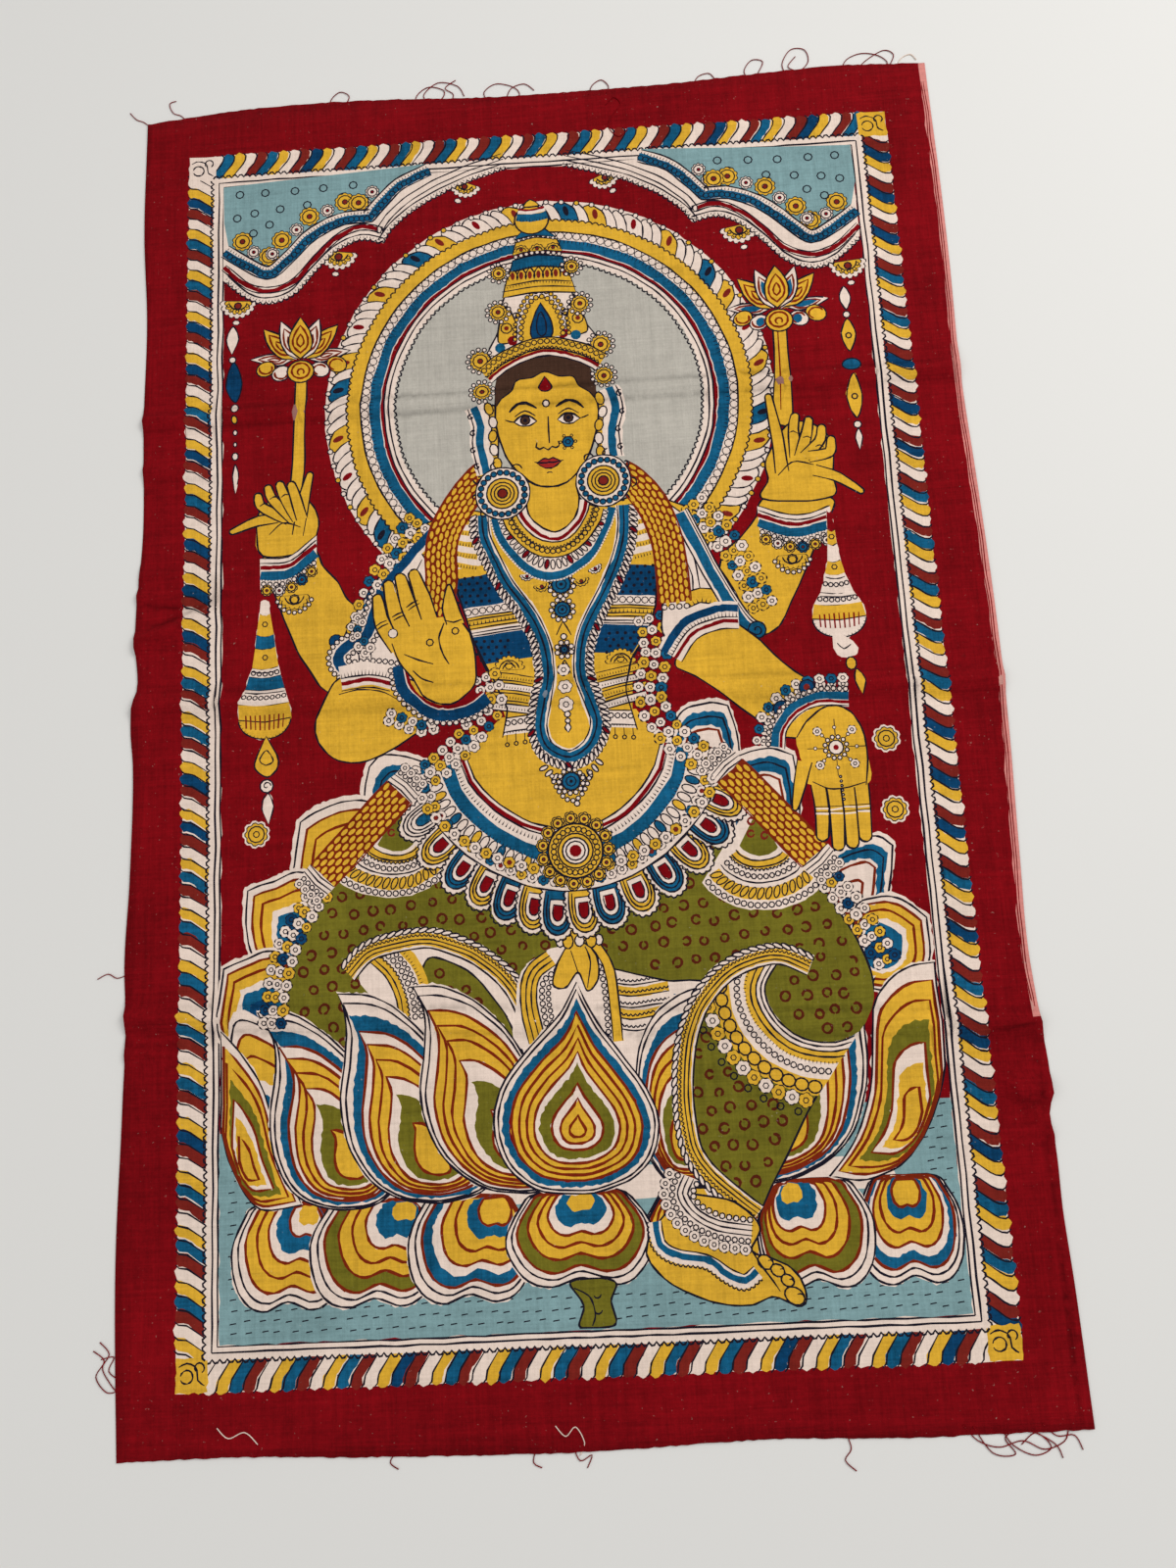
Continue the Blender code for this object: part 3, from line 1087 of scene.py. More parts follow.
# ---------------------------------------------------------------------------------------------------
# The body: torso, bodice, necklaces and garlands
# ---------------------------------------------------------------------------------------------------

TORSO = [
    (-14, 165), (-16, 142), (-34, 134), (-62, 138), (-90, 128), (-106, 112), (-98, 90), (-66, 82), (-61, 60),
    (-52, 32), (-40, 8), (-36, -8), (-44, -24), (-58, -36), (-56, -54), (-42, -72), (-20, -85), (5, -89),
    (30, -83), (50, -66), (61, -48), (62, -32), (50, -22), (44, 0), (50, 24), (63, 46), (68, 66), (74, 84),
    (104, 98), (106, 118), (92, 130), (62, 140), (36, 134), (20, 142), (20, 165),
]
BODICE_LEFT = EdgePoint(
    (-30, -22, -5, 15, 45, 65, 80, 100, 128), (-40, -39, -35, -43, -57, -62, -66, -76, -80)
)
BODICE_RIGHT = EdgePoint((-30, -22, 3, 25, 42, 62, 78, 100, 128), (52, 50, 44, 49, 61, 68, 69, 78, 82))
LONG_LOOP = [
    (-47.5, 134), (-47, 120), (-42, 105), (-32, 83), (-18, 61), (-10, 42), (-7, 18), (-11, -2),
    (-14, -18), (-9, -33),
    (5, -39.5), (18, -33), (24, -18), (20, -2), (15, 18), (18, 42), (27, 61), (39, 83), (47.5, 105),
    (50, 120), (50, 134),
]
GARLAND_LEFT = [(-44, 163), (-52, 156), (-63, 142), (-73, 124), (-77, 106), (-77, 88), (-80, 66)]
GARLAND_RIGHT = [(48, 158), (60, 148), (71, 130), (78, 108), (80, 84), (81, 62)]


BODICE_RISE = 6


def bodice_line(y):
    """A line across the bodice that rises to the middle. y is its height at the bodice's sides."""
    left, right = np.interp(y, *BODICE_LEFT), np.interp(y, *BODICE_RIGHT)
    x = np.linspace(left, right, 24)
    share = 1 - np.abs(x - 5) / 65
    return np.stack([x, y + BODICE_RISE * share - BODICE_RISE * 0.1], axis=1)


def bodice_band(dye, low, high):
    wash(dye, np.vstack([bodice_line(low), bodice_line(high)[::-1]]), 0.2, 0.15)


def paint_bodice():
    for low, high, dye in (
        (96, 128, "cream"), (90, 97, "mustard"), (68, 90, "indigo"), (61, 68, "cream"), (52, 61, "mustard"),
        (47, 52, "cream"), (27, 47, "indigo"), (-12, 27, "mustard"), (-24, -12, "cream"),
    ):
        bodice_band(dye, low, high)
    for y in (61, 59, 55.5, 53, 50, 48, -12.5, -22):
        pen(bodice_line(y), 0.8)
    beads(bodice_line(64.8), 2.6, pitch=5.0, line=0.55)
    comb(bodice_line(55.5), 3.0, 2.7, 1.0)
    for x in (-55, 57):
        dots(x, 80, 24, 19, 5.4, size=1.25)
    for x in (-44, 46):
        dots(x, 38, 28, 18, 5.4, size=1.25)
    for x, y, side in ((-33, 27, -1), (42, 27, 1)):
        fan(x, y - 5, 11, 0, "mustard", "mustard", 9)
        pen(arc(x, y - 5, 4.5, 10, 170), 0.75)
        for k in range(4):
            drop = y - 10 - k * 7
            a, b = (x - 16, drop - 3 * side), (x + 16, drop + 3 * side)
            line = straight([a, b], step=4)
            stripe("cream" if k % 2 else "mustard", line, -2.2, 2.2)
            pen(beside(line, 2.4), 0.75)
            pen(beside(line, -2.4), 0.75)
            comb(beside(line, -1), 1.9, 1.9)
    beads(bodice_line(-16), 2.2, pitch=4.4)
    comb(bodice_line(-22), -1.5, 2)
    for x, y, _ in spaced(bodice_line(-24), 6.2):
        pen(np.array([(x, y), (x, y - 5.0)]), 0.7)
        spot(x, y - 6.5, 1.8, "mustard", 0.7)
    for x, side in ((-61, -1), (64, 1)):
        for k in range(4):
            line = straight([(x - 9, 122 - 8 * k - side * 2), (x + 9, 122 - 8 * k + side * 2)], step=4)
            stripe("mustard", line, -1.8, 1.8)
            comb(beside(line, -1.6), 3.2, 2.1)
    left_side = np.array([(np.interp(y, *BODICE_LEFT), y) for y in range(-24, 96, 5)])
    right_side = np.array([(np.interp(y, *BODICE_RIGHT), y) for y in range(-24, 96, 5)])
    pen(left_side)
    pen(right_side)


def paint_long_loop():
    loop = smooth(LONG_LOOP)
    wash("cream", np.vstack([beside(loop, -9)]), 0.4)
    for k, (x, y, turn) in enumerate(spaced(beside(loop, -6.2), 4.1)):
        lean = 55 if x < 5 else -55
        spot(x, y, 3.9, "madder" if k % 9 == 4 else "cream", 0.8, 0.5, turn - lean)
    stripe("blue", loop, -3.2, 3.4)
    comb(beside(loop, -3.6), -1.5, 2.2)
    pen(beside(loop, 0.2), 0.9)
    wash("cream", beside(loop, 3.2), 0.2)
    pen(beside(loop, 4.4), 0.75)
    wash("mustard", beside(loop, 5.6), 0.2)


def paint_pendants():
    for x, y, radius in ((4.7, 80, 8.5), (4.7, 62, 7.5), (4.7, 34, 5.2)):
        medallion(x, y, radius)
    for side in (-1, 1):
        fan(4.7 + side * 13.5, 82 + side, 6, 190, "mustard", "brown", 6)
        fan(4.7 + side * 23, 90 + side, 5.5, 195 + side * 12, "cream", "madder", 6)
        pen(smooth([(4.7, 54), (4.7 + side * 2.2, 50), (4.7 + side * 5, 44)]), 0.8)
        pen(smooth([(4.7, 27), (4.7 + side * 2, 23), (4.7 + side * 4, 17)]), 0.8)
    spot(4.7, 43, 2.6)
    for x, y, radius in ((3.5, 20, 3.6), (4, 8, 4.2), (4, -4, 4.4)):
        blossom(x, y, radius + 1.2)
    bead_drop(4.6, -8, (2.6, 2.3))


def paint_necklaces():
    blue_band = swag((-39, 131), (-1, 86), (42, 133), 0.35)
    wash("cream", beside(blue_band, -3.8), 0.2)
    stripe("blue", blue_band, -2.8, 2.8)
    comb(beside(blue_band, -2.8), -1.6, 2.2)
    petal_line = swag((-33, 130), (0, 94.5), (36, 132), 0.4)
    wash("cream", beside(petal_line, -4), 0.2)
    petals(petal_line, 8, 4.1, ("cream", "cream", "cream", "madder"))
    gold = swag((-29, 132), (1, 104), (32, 134), 0.5)
    wash("mustard", beside(gold, -4.5), 0.2)
    beads(gold, 2.3, "mustard", 3.7)
    scallops(beside(gold, 3.2), 2.5, -1.4)
    pen(beside(gold, -4.5), 0.8)
    inner = swag((-22, 139), (2, 113), (25, 141), 0.6)
    wash("cream", beside(inner, -2.8), 0.2)
    pen(beside(inner, -2.8), 0.8)
    stripe("madder", inner, -1.3, 1.2)


def paint_neck():
    neck = [
        (-15, 168), (-14, 150), (-16, 138), (-12, 127), (2, 117.5), (16, 127), (20, 140), (19, 152),
        (19, 168),
    ]
    wash("cream", smooth(neck, True) + (0.3, -2.0))
    outlined("mustard", smooth(neck, closed=True))


def paint_lower_pendant():
    for x, y, turn in spaced(swag((-14, -44), (5, -56), (25, -42), 0.3), 5):
        spot(x, y, 3.6, "cream", 0.8, 0.55, turn + 80)
    medallion(4.8, -56, 8, "blue", 2.1)
    beads(swag((-8, -50), (5, -69), (18, -49), 0.4), 2)
    spot(8, -71, 2.4)


def paint_garland(path, ends):
    path = smooth(path)
    scales(path, 21, 6, 6.4)
    pen(beside(path, 10.8), 0.9, "rust")
    pen(beside(path, -10.8), 0.9, "rust")
    if ends:
        x, y = path[-1]
        beads(straight([(x - 10, y - 3), (x + 10, y - 3)]), 2.4)


SLEEVE_LEFT = [(-66, 134), (-98, 118), (-122, 90), (-142, 58), (-146, 26), (-104, 14), (-84, 40), (-78, 96)]
SLEEVE_RIGHT = [(72, 134), (94, 120), (110, 88), (124, 54), (98, 36), (72, 40), (76, 90)]


def paint_sleeve(outline, pleats, patch):
    """A short pleated sleeve: cream cloth with drawn pleats, and a gold patch with a ticked edge."""
    outlined("cream", smooth(outline, closed=True))
    for start, end in pleats:
        middle = ((start[0] + end[0]) / 2 + 2, (start[1] + end[1]) / 2)
        pen(smooth([start, middle, end]), 0.85)
    band = smooth(patch)
    stripe("mustard", band, -5, 5)
    pen(beside(band, 5), 0.8)
    pen(beside(band, -5), 0.8)
    comb(beside(band, -4.6), 3.2, 2.6, 0.9)


def paint_shoulders():
    """Sleeves, straps and clusters of small flowers over both shoulders."""
    paint_sleeve(
        SLEEVE_LEFT,
        [((-90, 104), (-116, 66)), ((-92, 92), (-114, 54)), ((-98, 112), (-124, 72)), ((-94, 80), (-110, 44)),
         ((-132, 60), (-126, 34)), ((-140, 52), (-134, 30))],
        [(-94, 122), (-82, 104), (-80, 84)],
    )
    paint_sleeve(
        SLEEVE_RIGHT,
        [((90, 112), (98, 70)), ((95, 108), (105, 70)), ((99, 102), (112, 66)), ((90, 92), (93, 68)),
         ((104, 92), (117, 62))],
        [(88, 62), (98, 66), (112, 62)],
    )
    for flip, dx in ((-1, 0), (1, 6)):
        outer = smooth(
            [(flip * 84 + dx, 130), (flip * 102 + dx, 106), (flip * 117 + dx, 80), (flip * 128 + dx, 50)]
        )
        cluster(beside(outer, flip * 7), 4.4, 3, 20, ("mustard", "cream", "mustard", "cream", "blue"))
    left_strap = smooth([(-78, 128), (-96, 110), (-117, 86)])
    stripe("indigo", left_strap, -3, 3)
    stripe("cream", beside(left_strap, 4.2), -1.2, 1.2)
    for x, y in ((-124, 80), (-150, 50)):
        spot(x, y, 5.2, "indigo", 0.6)
    hook = smooth(
        [(-118, 84), (-124, 66), (-130, 52), (-143, 46), (-149, 38), (-143, 29), (-122, 28), (-104, 24)]
    )
    stripe("cream", hook, -6.5, 6.5)
    beads(beside(hook, 6.5), 2.2)
    beads(beside(hook, -6.5), 2.2)
    stripe("indigo", hook, -3.6, 3.6)
    cluster(smooth([(-131, 66), (-138, 55), (-126, 40)]), 3.6, 2, 9)
    right_strap = smooth([(88, 126), (100, 98), (113, 68), (127, 44), (136, 38)])
    stripe("cream", right_strap, -6.4, 6.4)
    pen(beside(right_strap, 6), 0.85)
    pen(beside(right_strap, -6), 0.85)
    stripe("blue", right_strap, -3.8, 2.8)
    pen(beside(right_strap, 4.2), 0.7)
    spot(134, 39, 6.5, "blue", 0.8)
    curl(134, 39, 4, 200, 560)


# ---------------------------------------------------------------------------------------------------
# The lowered arms and their hands
# ---------------------------------------------------------------------------------------------------

FRONT_ARM_LEFT = [
    (-148, 24), (-158, 8), (-164.5, -5), (-162, -21), (-149, -33), (-131, -34), (-113, -27), (-92, -14),
    (-78, -2),
    (-84, 10), (-100, 20), (-115, 24),
]
FRONT_ARM_RIGHT = [
    (78, 18), (84, 30), (98, 42), (117, 46), (130, 37), (150, 15), (172, -4), (186, -12), (178, -34),
    (150, -36),
    (135, -27), (113, -8), (92, 9),
]
PALM_LEFT = [
    (-112, 46), (-104, 54), (-90, 62), (-78, 62), (-66, 60), (-59, 50), (-55, 30), (-56, 14), (-64, 5),
    (-76, 1),
    (-90, 6), (-98, 20), (-108, 34),
]
PALM_RIGHT = [
    (154, -36), (162, -25), (176, -16), (190, -20), (197, -34), (199, -52), (196, -70), (160, -68),
    (156, -52),
]


def paint_front_arm_left():
    outlined("mustard", smooth(FRONT_ARM_LEFT, closed=True))
    arm_band = smooth([(-147, 20), (-130, 22), (-112, 18)])
    wash("cream", np.vstack([beside(arm_band, -4), beside(arm_band, 12)[::-1]]))
    stripe("madder", arm_band, -1.4, 1.4)
    pen(beside(arm_band, -5.5), 0.8)
    comb(beside(arm_band, 3.5), 4, 2.3)
    pen(beside(arm_band, 3.4), 0.8)
    pen(smooth([(-148, 12), (-134, 15), (-118, 12), (-108, 6)]), 0.8)
    cluster(smooth([(-118, -4), (-105, -9), (-94, -14), (-82, -12)]), 4, 2, 10)
    cluster(smooth([(-112, 24), (-104, 10), (-100, 0)]), 3.6, 1, 4, ("mustard", "cream"))


def paint_blessing_hand():
    bracelet = smooth([(-108, 30), (-105, 14), (-94, 1), (-78, -6), (-60, -4), (-48, 4)])
    wash("cream", np.vstack([beside(bracelet, -4.5), beside(bracelet, 6)[::-1]]))
    beads(beside(bracelet, -5.5), 2.3)
    stripe("indigo", bracelet, -3.8, 3.4)
    stripe("madder", bracelet, 4.2, 6.2)
    for base, bend, tip, widths in (
        ((-108, 42), (-118, 60), (-121, 78), (10.5, 10.5, 7)),
        ((-101, 48), (-109, 67), (-113, 87), (10.5, 10.5, 7.5)),
        ((-93, 55), (-100, 73), (-105, 92), (10.5, 10.5, 7.5)),
        ((-85, 59), (-90, 77), (-96, 94), (10.5, 10.5, 7.5)),
    ):
        limb([base, bend, tip], widths)
    outline = smooth(PALM_LEFT, closed=True)
    wash("mustard", outline)
    pen(smooth(PALM_LEFT[4:] + PALM_LEFT[:1]))
    limb([(-68, 56), (-71, 68), (-72, 84)], (12, 11, 3))
    wash("mustard", arc(-69, 52, 6.5, 0, 360), 0.1)
    pen(smooth([(-76, 58), (-80, 48), (-78, 38), (-73, 29)]), 0.9)
    pen(smooth([(-104, 38), (-94, 33), (-84, 30)]), 0.85)
    pen(smooth([(-98, 26), (-92, 20), (-84, 17)]), 0.85)
    ring("ink", -86, 45, 2.4, 0.8)
    ring("ink", -68.5, 52, 2.4, 0.8)
    for x, y, turn in ((-118, 58, 25), (-106, 64, 25), (-96, 71, 28)):
        for gap in (0, 2.6):
            pen(placed([(-4.5, gap), (0, gap + 0.6), (4.5, gap)], x, y, turn), 0.8)
    pen(smooth([(-76, 60), (-70, 58), (-64, 60)]), 0.8)
    spot(-111, 53, 3.6, "cream", 0.5)


def paint_front_arm_right():
    outlined("mustard", smooth(FRONT_ARM_RIGHT, closed=True))
    top = smooth([(80, 22), (92, 38), (108, 44), (122, 44)])
    wash("cream", np.vstack([beside(top, -3), beside(top, 16)[::-1]]))
    pen(beside(top, -3), 0.8)
    stripe("madder", top, 0.6, 3)
    pen(beside(top, 5), 0.8)
    comb(beside(top, 5), 4, 2.3)
    stripe("indigo", beside(top, 11), -2.6, 2.6)
    cuff = smooth([(140, -42), (143, -28), (154, -16), (170, -10), (190, -11)])
    cluster(beside(cuff, 10), 4, 2, 9)
    for x, y, radius in ((146, -16, 6), (163, -3, 5.5)):
        spot(x, y, radius, "indigo", 0.7)
        disc("brown", x, y, radius * 0.4)
    wash("cream", np.vstack([beside(cuff, 6), beside(cuff, -6)[::-1]]))
    beads(beside(cuff, 5.2), 2.1)
    stripe("blue", cuff, -1.6, 3.2)
    comb(beside(cuff, 3.2), 1.6, 2.2)
    stripe("madder", cuff, -4, -2)
    pen(beside(cuff, -5.6), 0.8)


def paint_giving_hand():
    for k, x in enumerate((166, 175.5, 184.5, 193)):
        length = (-101, -108, -107, -103)[k]
        limb([(x - 1 + k * 0.3, -66), (x, -86), (x - 0.5, length)], (9, 9.2, 8))
        for gap in (-84, -87.5):
            pen([(x - 4.2, gap + rng.uniform(-1, 1)), (x + 4.2, gap)], 1.5, "cream")
            pen([(x - 4.4, gap + 1.4), (x + 4.4, gap + 1.4)], 0.7)
    outline = smooth(PALM_RIGHT, closed=True)
    wash("mustard", outline)
    pen(smooth(PALM_RIGHT[:7]), 0.95)
    pen(smooth([(162, -66), (172, -71), (184, -71), (196, -68)]), 0.85)
    limb([(158, -52), (154, -66), (149, -82)], (10, 8, 4))
    for turn in range(0, 360, 45):
        a = math.radians(turn)
        away = np.array([math.cos(a), math.sin(a)])
        start, end = np.array([179, -44]) + away * 8, np.array([179, -44]) + away * (16 if turn % 90 else 19)
        pen([start, end], 0.8)
        spot(*(start + (end - start) * 0.5), 1.5, "cream", 0.5)
        if turn % 90:
            blossom(*end, 3.4)
    beads(arc(179, -44, 7.2, 0, 360), 1.9, pitch=3.7)
    spot(179, -44, 5.4, "cream", 0.8)
    disc("madder", 179, -44, 1.9)
    beads(straight([(180, -62), (181, -80)]), 1.3, pitch=3)


# ---------------------------------------------------------------------------------------------------
# The head and the crown
# ---------------------------------------------------------------------------------------------------

HEAD_X = 0.5
CHIN_Y = 151.0
HAIR_Y = 242.0
FACE_HALF_WIDTH = 36.0
THIRD = (HAIR_Y - 4 - CHIN_Y) / 3
NOSE_Y = CHIN_Y + THIRD
BROW_Y = CHIN_Y + 2 * THIRD
EYE_Y = BROW_Y - 8.5
MOUTH_Y = CHIN_Y + THIRD * 0.62
EYE_WIDTH = 2 * FACE_HALF_WIDTH / 5
EYE_GAP = EYE_WIDTH * 1.05

# The face is an egg: at each share of its height from the chin up, its share of the full half width.
EGG = (
    (0.0, 0.0), (0.015, 0.22), (0.06, 0.42), (0.15, 0.64), (0.3, 0.85), (0.5, 0.98), (0.65, 1.0),
    (0.82, 0.92), (0.95, 0.7), (1.0, 0.5),
)


def face_outline():
    height = HAIR_Y - CHIN_Y
    right = [(HEAD_X + FACE_HALF_WIDTH * w, CHIN_Y + height * h) for h, w in EGG]
    left = [(2 * HEAD_X - x, y) for x, y in right[:0:-1]]
    return smooth(left + right, closed=False)


def paint_eye(side):
    x = HEAD_X + side * EYE_GAP
    half = EYE_WIDTH * 0.56
    upper = smooth([
        (x - half, EYE_Y), (x - half * 0.5, EYE_Y + 3.6), (x, EYE_Y + 4.8), (x + half * 0.5, EYE_Y + 3.6),
        (x + half, EYE_Y),
    ])
    lower = smooth([
        (x + half, EYE_Y), (x + half * 0.4, EYE_Y - 3.0), (x - half * 0.4, EYE_Y - 3.0), (x - half, EYE_Y)
    ])
    wash("cream", np.vstack([upper, lower[1:-1]]), 0.1, 0.1)
    disc("ink", x, EYE_Y + 0.9, 3.9)
    disc("hair", x, EYE_Y + 0.9, 3.0)
    disc("ink", x, EYE_Y + 0.9, 1.5)
    pen(upper, 1.25)
    pen(lower, 0.85)
    pen(
        smooth([
            (x + side * half, EYE_Y),
            (x + side * (half + 3), EYE_Y + 0.8),
            (x + side * (half + 6), EYE_Y + 2.0),
        ]),
        1.0,
    )
    lid = [(x - half * 0.9, EYE_Y + 4.0), (x, EYE_Y + 8.2), (x + half * 0.9, EYE_Y + 4.0)]
    pen(smooth(lid), 0.85)
    inner, outer = x - side * half * 1.05, x + side * half * 1.35
    brow = [
        (inner, BROW_Y + 1.0), (x - side * 1.5, BROW_Y + 5.2), (x + side * 5, BROW_Y + 4.4),
        (outer, BROW_Y - 1.0),
    ]
    pen(smooth(brow), 1.5)


def paint_face():
    for side in (-1, 1):
        x = HEAD_X + side * (FACE_HALF_WIDTH + 2)
        ear = [
            (x - side * 3, BROW_Y + 1), (x + side * 2.5, BROW_Y + 3), (x + side * 4.5, EYE_Y - 4),
            (x + side * 2.5, NOSE_Y - 1), (x - side * 3, NOSE_Y - 4),
        ]
        outlined("mustard", smooth(ear, closed=True))
        pen(
            smooth(
                [(x + side * 2.3, BROW_Y - 2), (x + side * 1.0, EYE_Y - 3), (x + side * 1.6, NOSE_Y + 4)]
            ),
            0.8,
        )
    outlined("mustard", face_outline(), 1.15)
    hair_edge = [(HEAD_X - FACE_HALF_WIDTH * 0.97, BROW_Y + 4)]
    for k in range(9):
        turn = math.radians(168 - k * 19.5)
        reach = 0.79 if k % 2 else 0.9
        hair_edge.append((
            HEAD_X + FACE_HALF_WIDTH * 0.98 * reach * math.cos(turn),
            214 + 28 * reach * math.sin(turn) - 1.5,
        ))
    hair_edge.append((HEAD_X + FACE_HALF_WIDTH * 0.97, BROW_Y + 4))
    over = [
        (HEAD_X + 36, 226), (HEAD_X + 30, 240), (HEAD_X + 12, 249), (HEAD_X - 12, 249),
        (HEAD_X - 30, 240), (HEAD_X - 36, 226),
    ]
    wash("hair", np.vstack([smooth(hair_edge), smooth(over)]), 0.3)
    pen(smooth(hair_edge), 0.8)
    drop_x, drop_y = HEAD_X, BROW_Y + 17
    drop = [
        (drop_x, drop_y + 8), (drop_x, drop_y + 8), (drop_x + 4.6, drop_y - 1), (drop_x, drop_y - 4.6),
        (drop_x - 4.6, drop_y - 1),
    ]
    outlined("madder", smooth(drop, closed=True), 0.9)
    spot(HEAD_X, BROW_Y + 4, 3.0, "cream", 0.9)
    paint_eye(-1)
    paint_eye(1)
    pen(smooth([(HEAD_X + 1.0, EYE_Y + 3), (HEAD_X + 0.9, EYE_Y - 8), (HEAD_X + 1.2, NOSE_Y + 3)]), 1.0)
    base = [
        (HEAD_X - 7.5, NOSE_Y + 4.5), (HEAD_X - 8.3, NOSE_Y + 1.2), (HEAD_X - 5.6, NOSE_Y - 0.6),
        (HEAD_X - 3, NOSE_Y + 0.4),
    ]
    base += [
        (HEAD_X, NOSE_Y - 1.8), (HEAD_X + 3, NOSE_Y + 0.4), (HEAD_X + 5.6, NOSE_Y - 0.6),
        (HEAD_X + 8.3, NOSE_Y + 1.2), (HEAD_X + 7.5, NOSE_Y + 4.5),
    ]
    pen(smooth(base), 1.0)
    mouth = 8.6
    top_lip = [
        (HEAD_X - mouth, MOUTH_Y + 0.3), (HEAD_X - 3.2, MOUTH_Y + 3.3), (HEAD_X, MOUTH_Y + 2.3),
        (HEAD_X + 3.2, MOUTH_Y + 3.3), (HEAD_X + mouth, MOUTH_Y + 0.3),
    ]
    low_lip = [
        (HEAD_X + mouth, MOUTH_Y + 0.3), (HEAD_X + 4, MOUTH_Y - 3.4), (HEAD_X, MOUTH_Y - 4.3),
        (HEAD_X - 4, MOUTH_Y - 3.4), (HEAD_X - mouth, MOUTH_Y + 0.3),
    ]
    lips = np.vstack([smooth(top_lip), smooth(low_lip)[1:-1]])
    wash("lip", lips, 0.1, 0.1)
    pen(lips, 0.8, closed=True)
    pen(
        smooth([
            (HEAD_X - mouth - 1.6, MOUTH_Y + 1.0),
            (HEAD_X - 3, MOUTH_Y - 0.2),
            (HEAD_X, MOUTH_Y + 0.3),
            (HEAD_X + 3, MOUTH_Y - 0.2),
            (HEAD_X + mouth + 1.6, MOUTH_Y + 1.0),
        ]),
        0.95,
    )
    pen(arc(HEAD_X, MOUTH_Y - 11, 4, 60, 120), 0.8)
    nose_x, nose_y = HEAD_X + 14, NOSE_Y + 3.5
    for turn in range(0, 360, 60):
        a = math.radians(turn)
        spot(nose_x + 5.2 * math.cos(a), nose_y + 5.2 * math.sin(a), 1.4, "mustard", 0.6)
    spot(nose_x, nose_y, 4.4, "blue", 0.7)
    ring("ink", nose_x, nose_y, 1.8, 0.7)


CROWN_ROSETTES = (
    (-44, 225, 9.2), (42, 231, 9.2), (-44.5, 249, 10), (41, 255, 10),
    (-30.5, 286, 9), (28, 288, 9), (-29, 316.5, 8), (23.5, 317.5, 8),
)


def paint_crown_tier(low, high, half_low, half_high, dye, x):
    """A band round the crown, a little domed."""
    bottom = smooth([(x - half_low, low), (x, low + 2.5), (x + half_low, low)])
    top = smooth([(x + half_high, high), (x, high + 3), (x - half_high, high)])
    outlined(dye, np.vstack([bottom, top]), 0.9)
    return bottom, top


def paint_crown():
    body = smooth(
        [(-34, 250), (-31, 272), (-25, 298), (-14, 303), (12, 303), (22, 298), (31, 274), (35, 254)], True
    )
    outlined("cream", body)
    outlined("mustard", smooth([(-31, 262), (-30, 276), (-24, 290), (-19, 280), (-19, 264)], True), 0.85)
    outlined("mustard", smooth([(32, 266), (30, 280), (24, 292), (19, 282), (19, 266)], True), 0.85)
    for x, y in ((-25, 273), (26, 277)):
        ring("ink", x, y, 4, 0.8)
        disc("brown", x, y, 1.8)
    for x, y, dye in ((-30, 258, "blue"), (-21, 263, "madder"), (15, 266, "madder"), (24, 264, "blue")):
        disc(dye, x, y, 3.8)
    arch = smooth([(-15, 262), (-14, 276), (-8, 291), (0, 296), (8, 291), (14, 277), (15, 264)])
    wash("mustard", arch, 0.2)
    beads(arch, 2.3, "mustard")
    beads(beside(arch, 4.2), 2.0, "mustard")
    gem = [(0, 291), (0, 291), (6.5, 278), (7.5, 266), (0, 258), (-7.5, 265), (-6.5, 277)]
    outlined("indigo", smooth(gem, closed=True), 0.9)
    pen(smooth([(0, 284), (3.2, 276), (3, 268), (0, 265), (-3, 268), (-3.2, 276)], True), 0.8, closed=True)
    for side in (-1, 1):
        curl(side * 17, 282, 3.2, 90 - side * 60, 90 + side * 300)
    bottom, top = paint_crown_tier(297, 307, 26, 24, "mustard", -0.5)
    comb(beside(top, 2), 2, 2.2)
    pen(beside(bottom, 4.5), 0.8)
    paint_crown_tier(306, 318, 24, 21, "mustard", -0.5)
    for k in range(7):
        x = -19 + k * 6.2
        pen(smooth([(x - 3, 308 + 2), (x - 3.4, 314), (x, 319), (x + 3.4, 314), (x + 3, 310)]), 0.75)
        disc("brown", x, 313.5, 3.2, 0.5, 90)
    bottom, top = paint_crown_tier(317, 326, 20.5, 18, "blue", -0.5)
    comb(bottom, 2, 2.2)
    beads(smooth([(-18, 328), (-0.5, 331), (17, 328)]), 2.1)
    paint_crown_tier(330, 340, 18, 15, "mustard", -0.5)
    for x in (-12, -0.5, 11):
        fan(x, 332, 6, 0, "mustard", "brown", 5)
    beads(smooth([(-15, 341), (-1, 344), (13, 341)]), 1.8)
    paint_crown_tier(342, 349, 15.5, 8, "blue", -2)
    spot(-3.5, 357, 13, "mustard", 1.0, 0.92)
    band = np.array([(x, 357 + (x + 3.5) ** 2 * 0.012) for x in np.linspace(-15, 8, 12)])
    stripe("blue", band, -1.5, 4.5)
    comb(beside(band, -1.4), 2.4, 2.3)
    stripe("cream", beside(band, 6), -1.2, 1.2)
    stripe("madder", beside(band, 8), -0.8, 0.8)
    outlined("mustard", smooth([(-9, 368), (-4, 373.5), (2, 368)], True), 0.85)
    for x, y, radius in CROWN_ROSETTES:
        beads(arc(x, y, radius - 1, 0, 360), 2.0, pitch=4.2)
        rosette(x, y, radius - 2.2, "mustard", "brown", 12)


def paint_tiara():
    base = smooth([(-38, 233), (-24, 244), (0, 252), (24, 246), (38, 237)])
    wash("mustard", np.vstack([beside(base, 12), base[::-1]]))
    beads(beside(base, 9), 2.4, "mustard")
    scallops(beside(base, 5.4), 3.2, -1.5)
    pen(beside(base, 3.4), 0.8)
    pen(beside(base, 12), 0.9)
    stripe("madder", base, 0.4, 2.6)
    stripe("cream", base, -1.8, 0.4)
    pen(beside(base, -2), 0.85)


